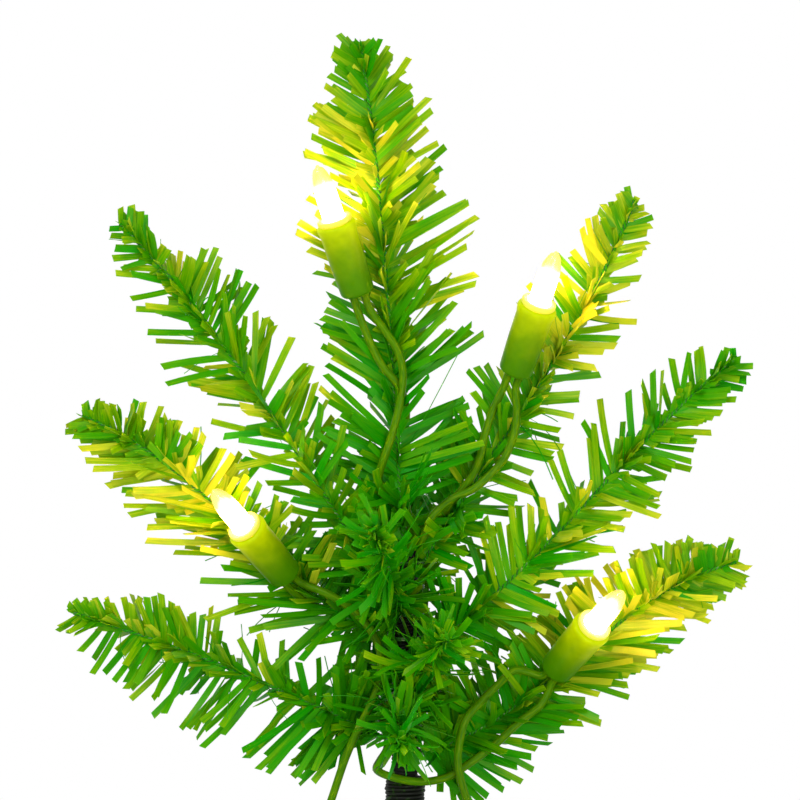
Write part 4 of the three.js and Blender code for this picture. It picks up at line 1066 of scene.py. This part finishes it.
def dress_grommet(side, place, rubber):
    node = f"grommet_{side}"
    bottom, top = [corner.z for corner in box(node)]
    collar = profile_of(
        (1.35, bottom), (4, bottom), (4.4, bottom + 0.4), (4.4, bottom + 1), (2.9, bottom + 1),
        (2.9, top - 1), (4.4, top - 1), arc(3.6, top - 0.8, 0.8, 0, 90, 5), (1.8, top), (1.35, top - 0.4))
    new_piece(f"collar_{side}", moved(turned(collar, 40, wrap_rows=True), place), rubber, "tree", node)


def dress_cell(name, sleeve):
    """A can with its nub, laid along Y with the nub away from the middle of the base."""
    low, high = box(name)
    x, y, z = (low + high) / 2
    way = 1 if y > 0 else -1
    half = CELL_LENGTH / 2
    can = profile_of(
        (AXIS, -half), (6.2, -half), arc(6.6, -half + 0.5, 0.5, -90, 0, 4), (7.1, half - 0.6),
        arc(6.5, half - 0.6, 0.6, 0, 90, 4), (2.7, half), arc(2.4, half + 0.9, 0.3, 0, 90, 3),
        (AXIS, half + 1.2))
    places, faces, uv = with_height(turned(can, 48), -half, CELL_LENGTH)
    laid = places[:, [0, 2, 1]] * [1, way, 1] + [x, y - way * 0.6, z]
    new_piece(f"battery_{name}", (laid, faces, uv), sleeve, "tree", name)


def dress_slider(plastic):
    """The switch's knob: a block with finger ribs, a cosine wave along its travel, over its stem."""
    low, high = box("switch_slider")
    bottom = BASE_HEIGHT + CLEARANCE
    x = np.linspace(low.x, high.x, 49)
    ridge = 0.15 + 0.15 * np.cos(2 * np.pi * 6 * (x - low.x) / (high.x - low.x))
    edge = np.minimum(1, np.minimum(x - low.x, high.x - x) / 0.5)
    inset = 0.35 * (1 - edge)
    top = high.z - 0.3 + ridge * edge - inset
    ring = [(high.y - inset, bottom), (high.y - inset, top - 0.35), (high.y - 0.4 - inset, top),
            (low.y + 0.4 + inset, top), (low.y + inset, top - 0.35), (low.y + inset, bottom)]
    knob = surface(np.stack([np.stack(np.broadcast_arrays(x, y, z), -1) for y, z in ring], 1))
    middle = (low.y + high.y) / 2
    stem = prism(block(-1.5, 1.5, middle - 1.1, middle + 1.1), low.z, bottom + 0.5)
    new_piece("switch_knob", joined([knob, stem]), plastic, "switch_slider", "switch_slider")


def dress_base():
    plastic = new_material("spark_textured_abs", moulded_look, "#141614", "#1e201d", 2600, 0.5, 0.04)
    smooth = new_material("moulded_black_abs", moulded_look, "#101110", "#1a1b1a", 1800, 0.38, 0.02)
    rubber = new_material("moulded_nitrile_rubber", moulded_look, "#0e0e0e", "#191918", 1200, 0.75, 0.05)
    iron = new_material("sand_cast_iron", metal_look, "#2c2c2e", "#4a4a4b", 0.6, 0.7, 900)
    sleeve = new_material("varnished_cell_sleeve", cell_look)
    dress_housing(plastic)
    dress_foot(rubber)
    dress_ballast(iron)
    dress_grommet("left", -GROMMET_PLACE, rubber)
    dress_grommet("right", GROMMET_PLACE, rubber)
    for name in ("cell_1", "cell_2", "cell_3"):
        dress_cell(name, sleeve)
    dress_slider(smooth)
    for name in ("base_plate", "battery_door", "battery_tray"):
        finish_node(name, plastic)
    finish_node("switch_body", smooth)


bpy.context.scene.view_settings.view_transform = "Standard"
light_scene(place_camera())
add_floor()
dress_cords()
dress_twigs()
dress_lamps()
dress_trunk()
dress_base()
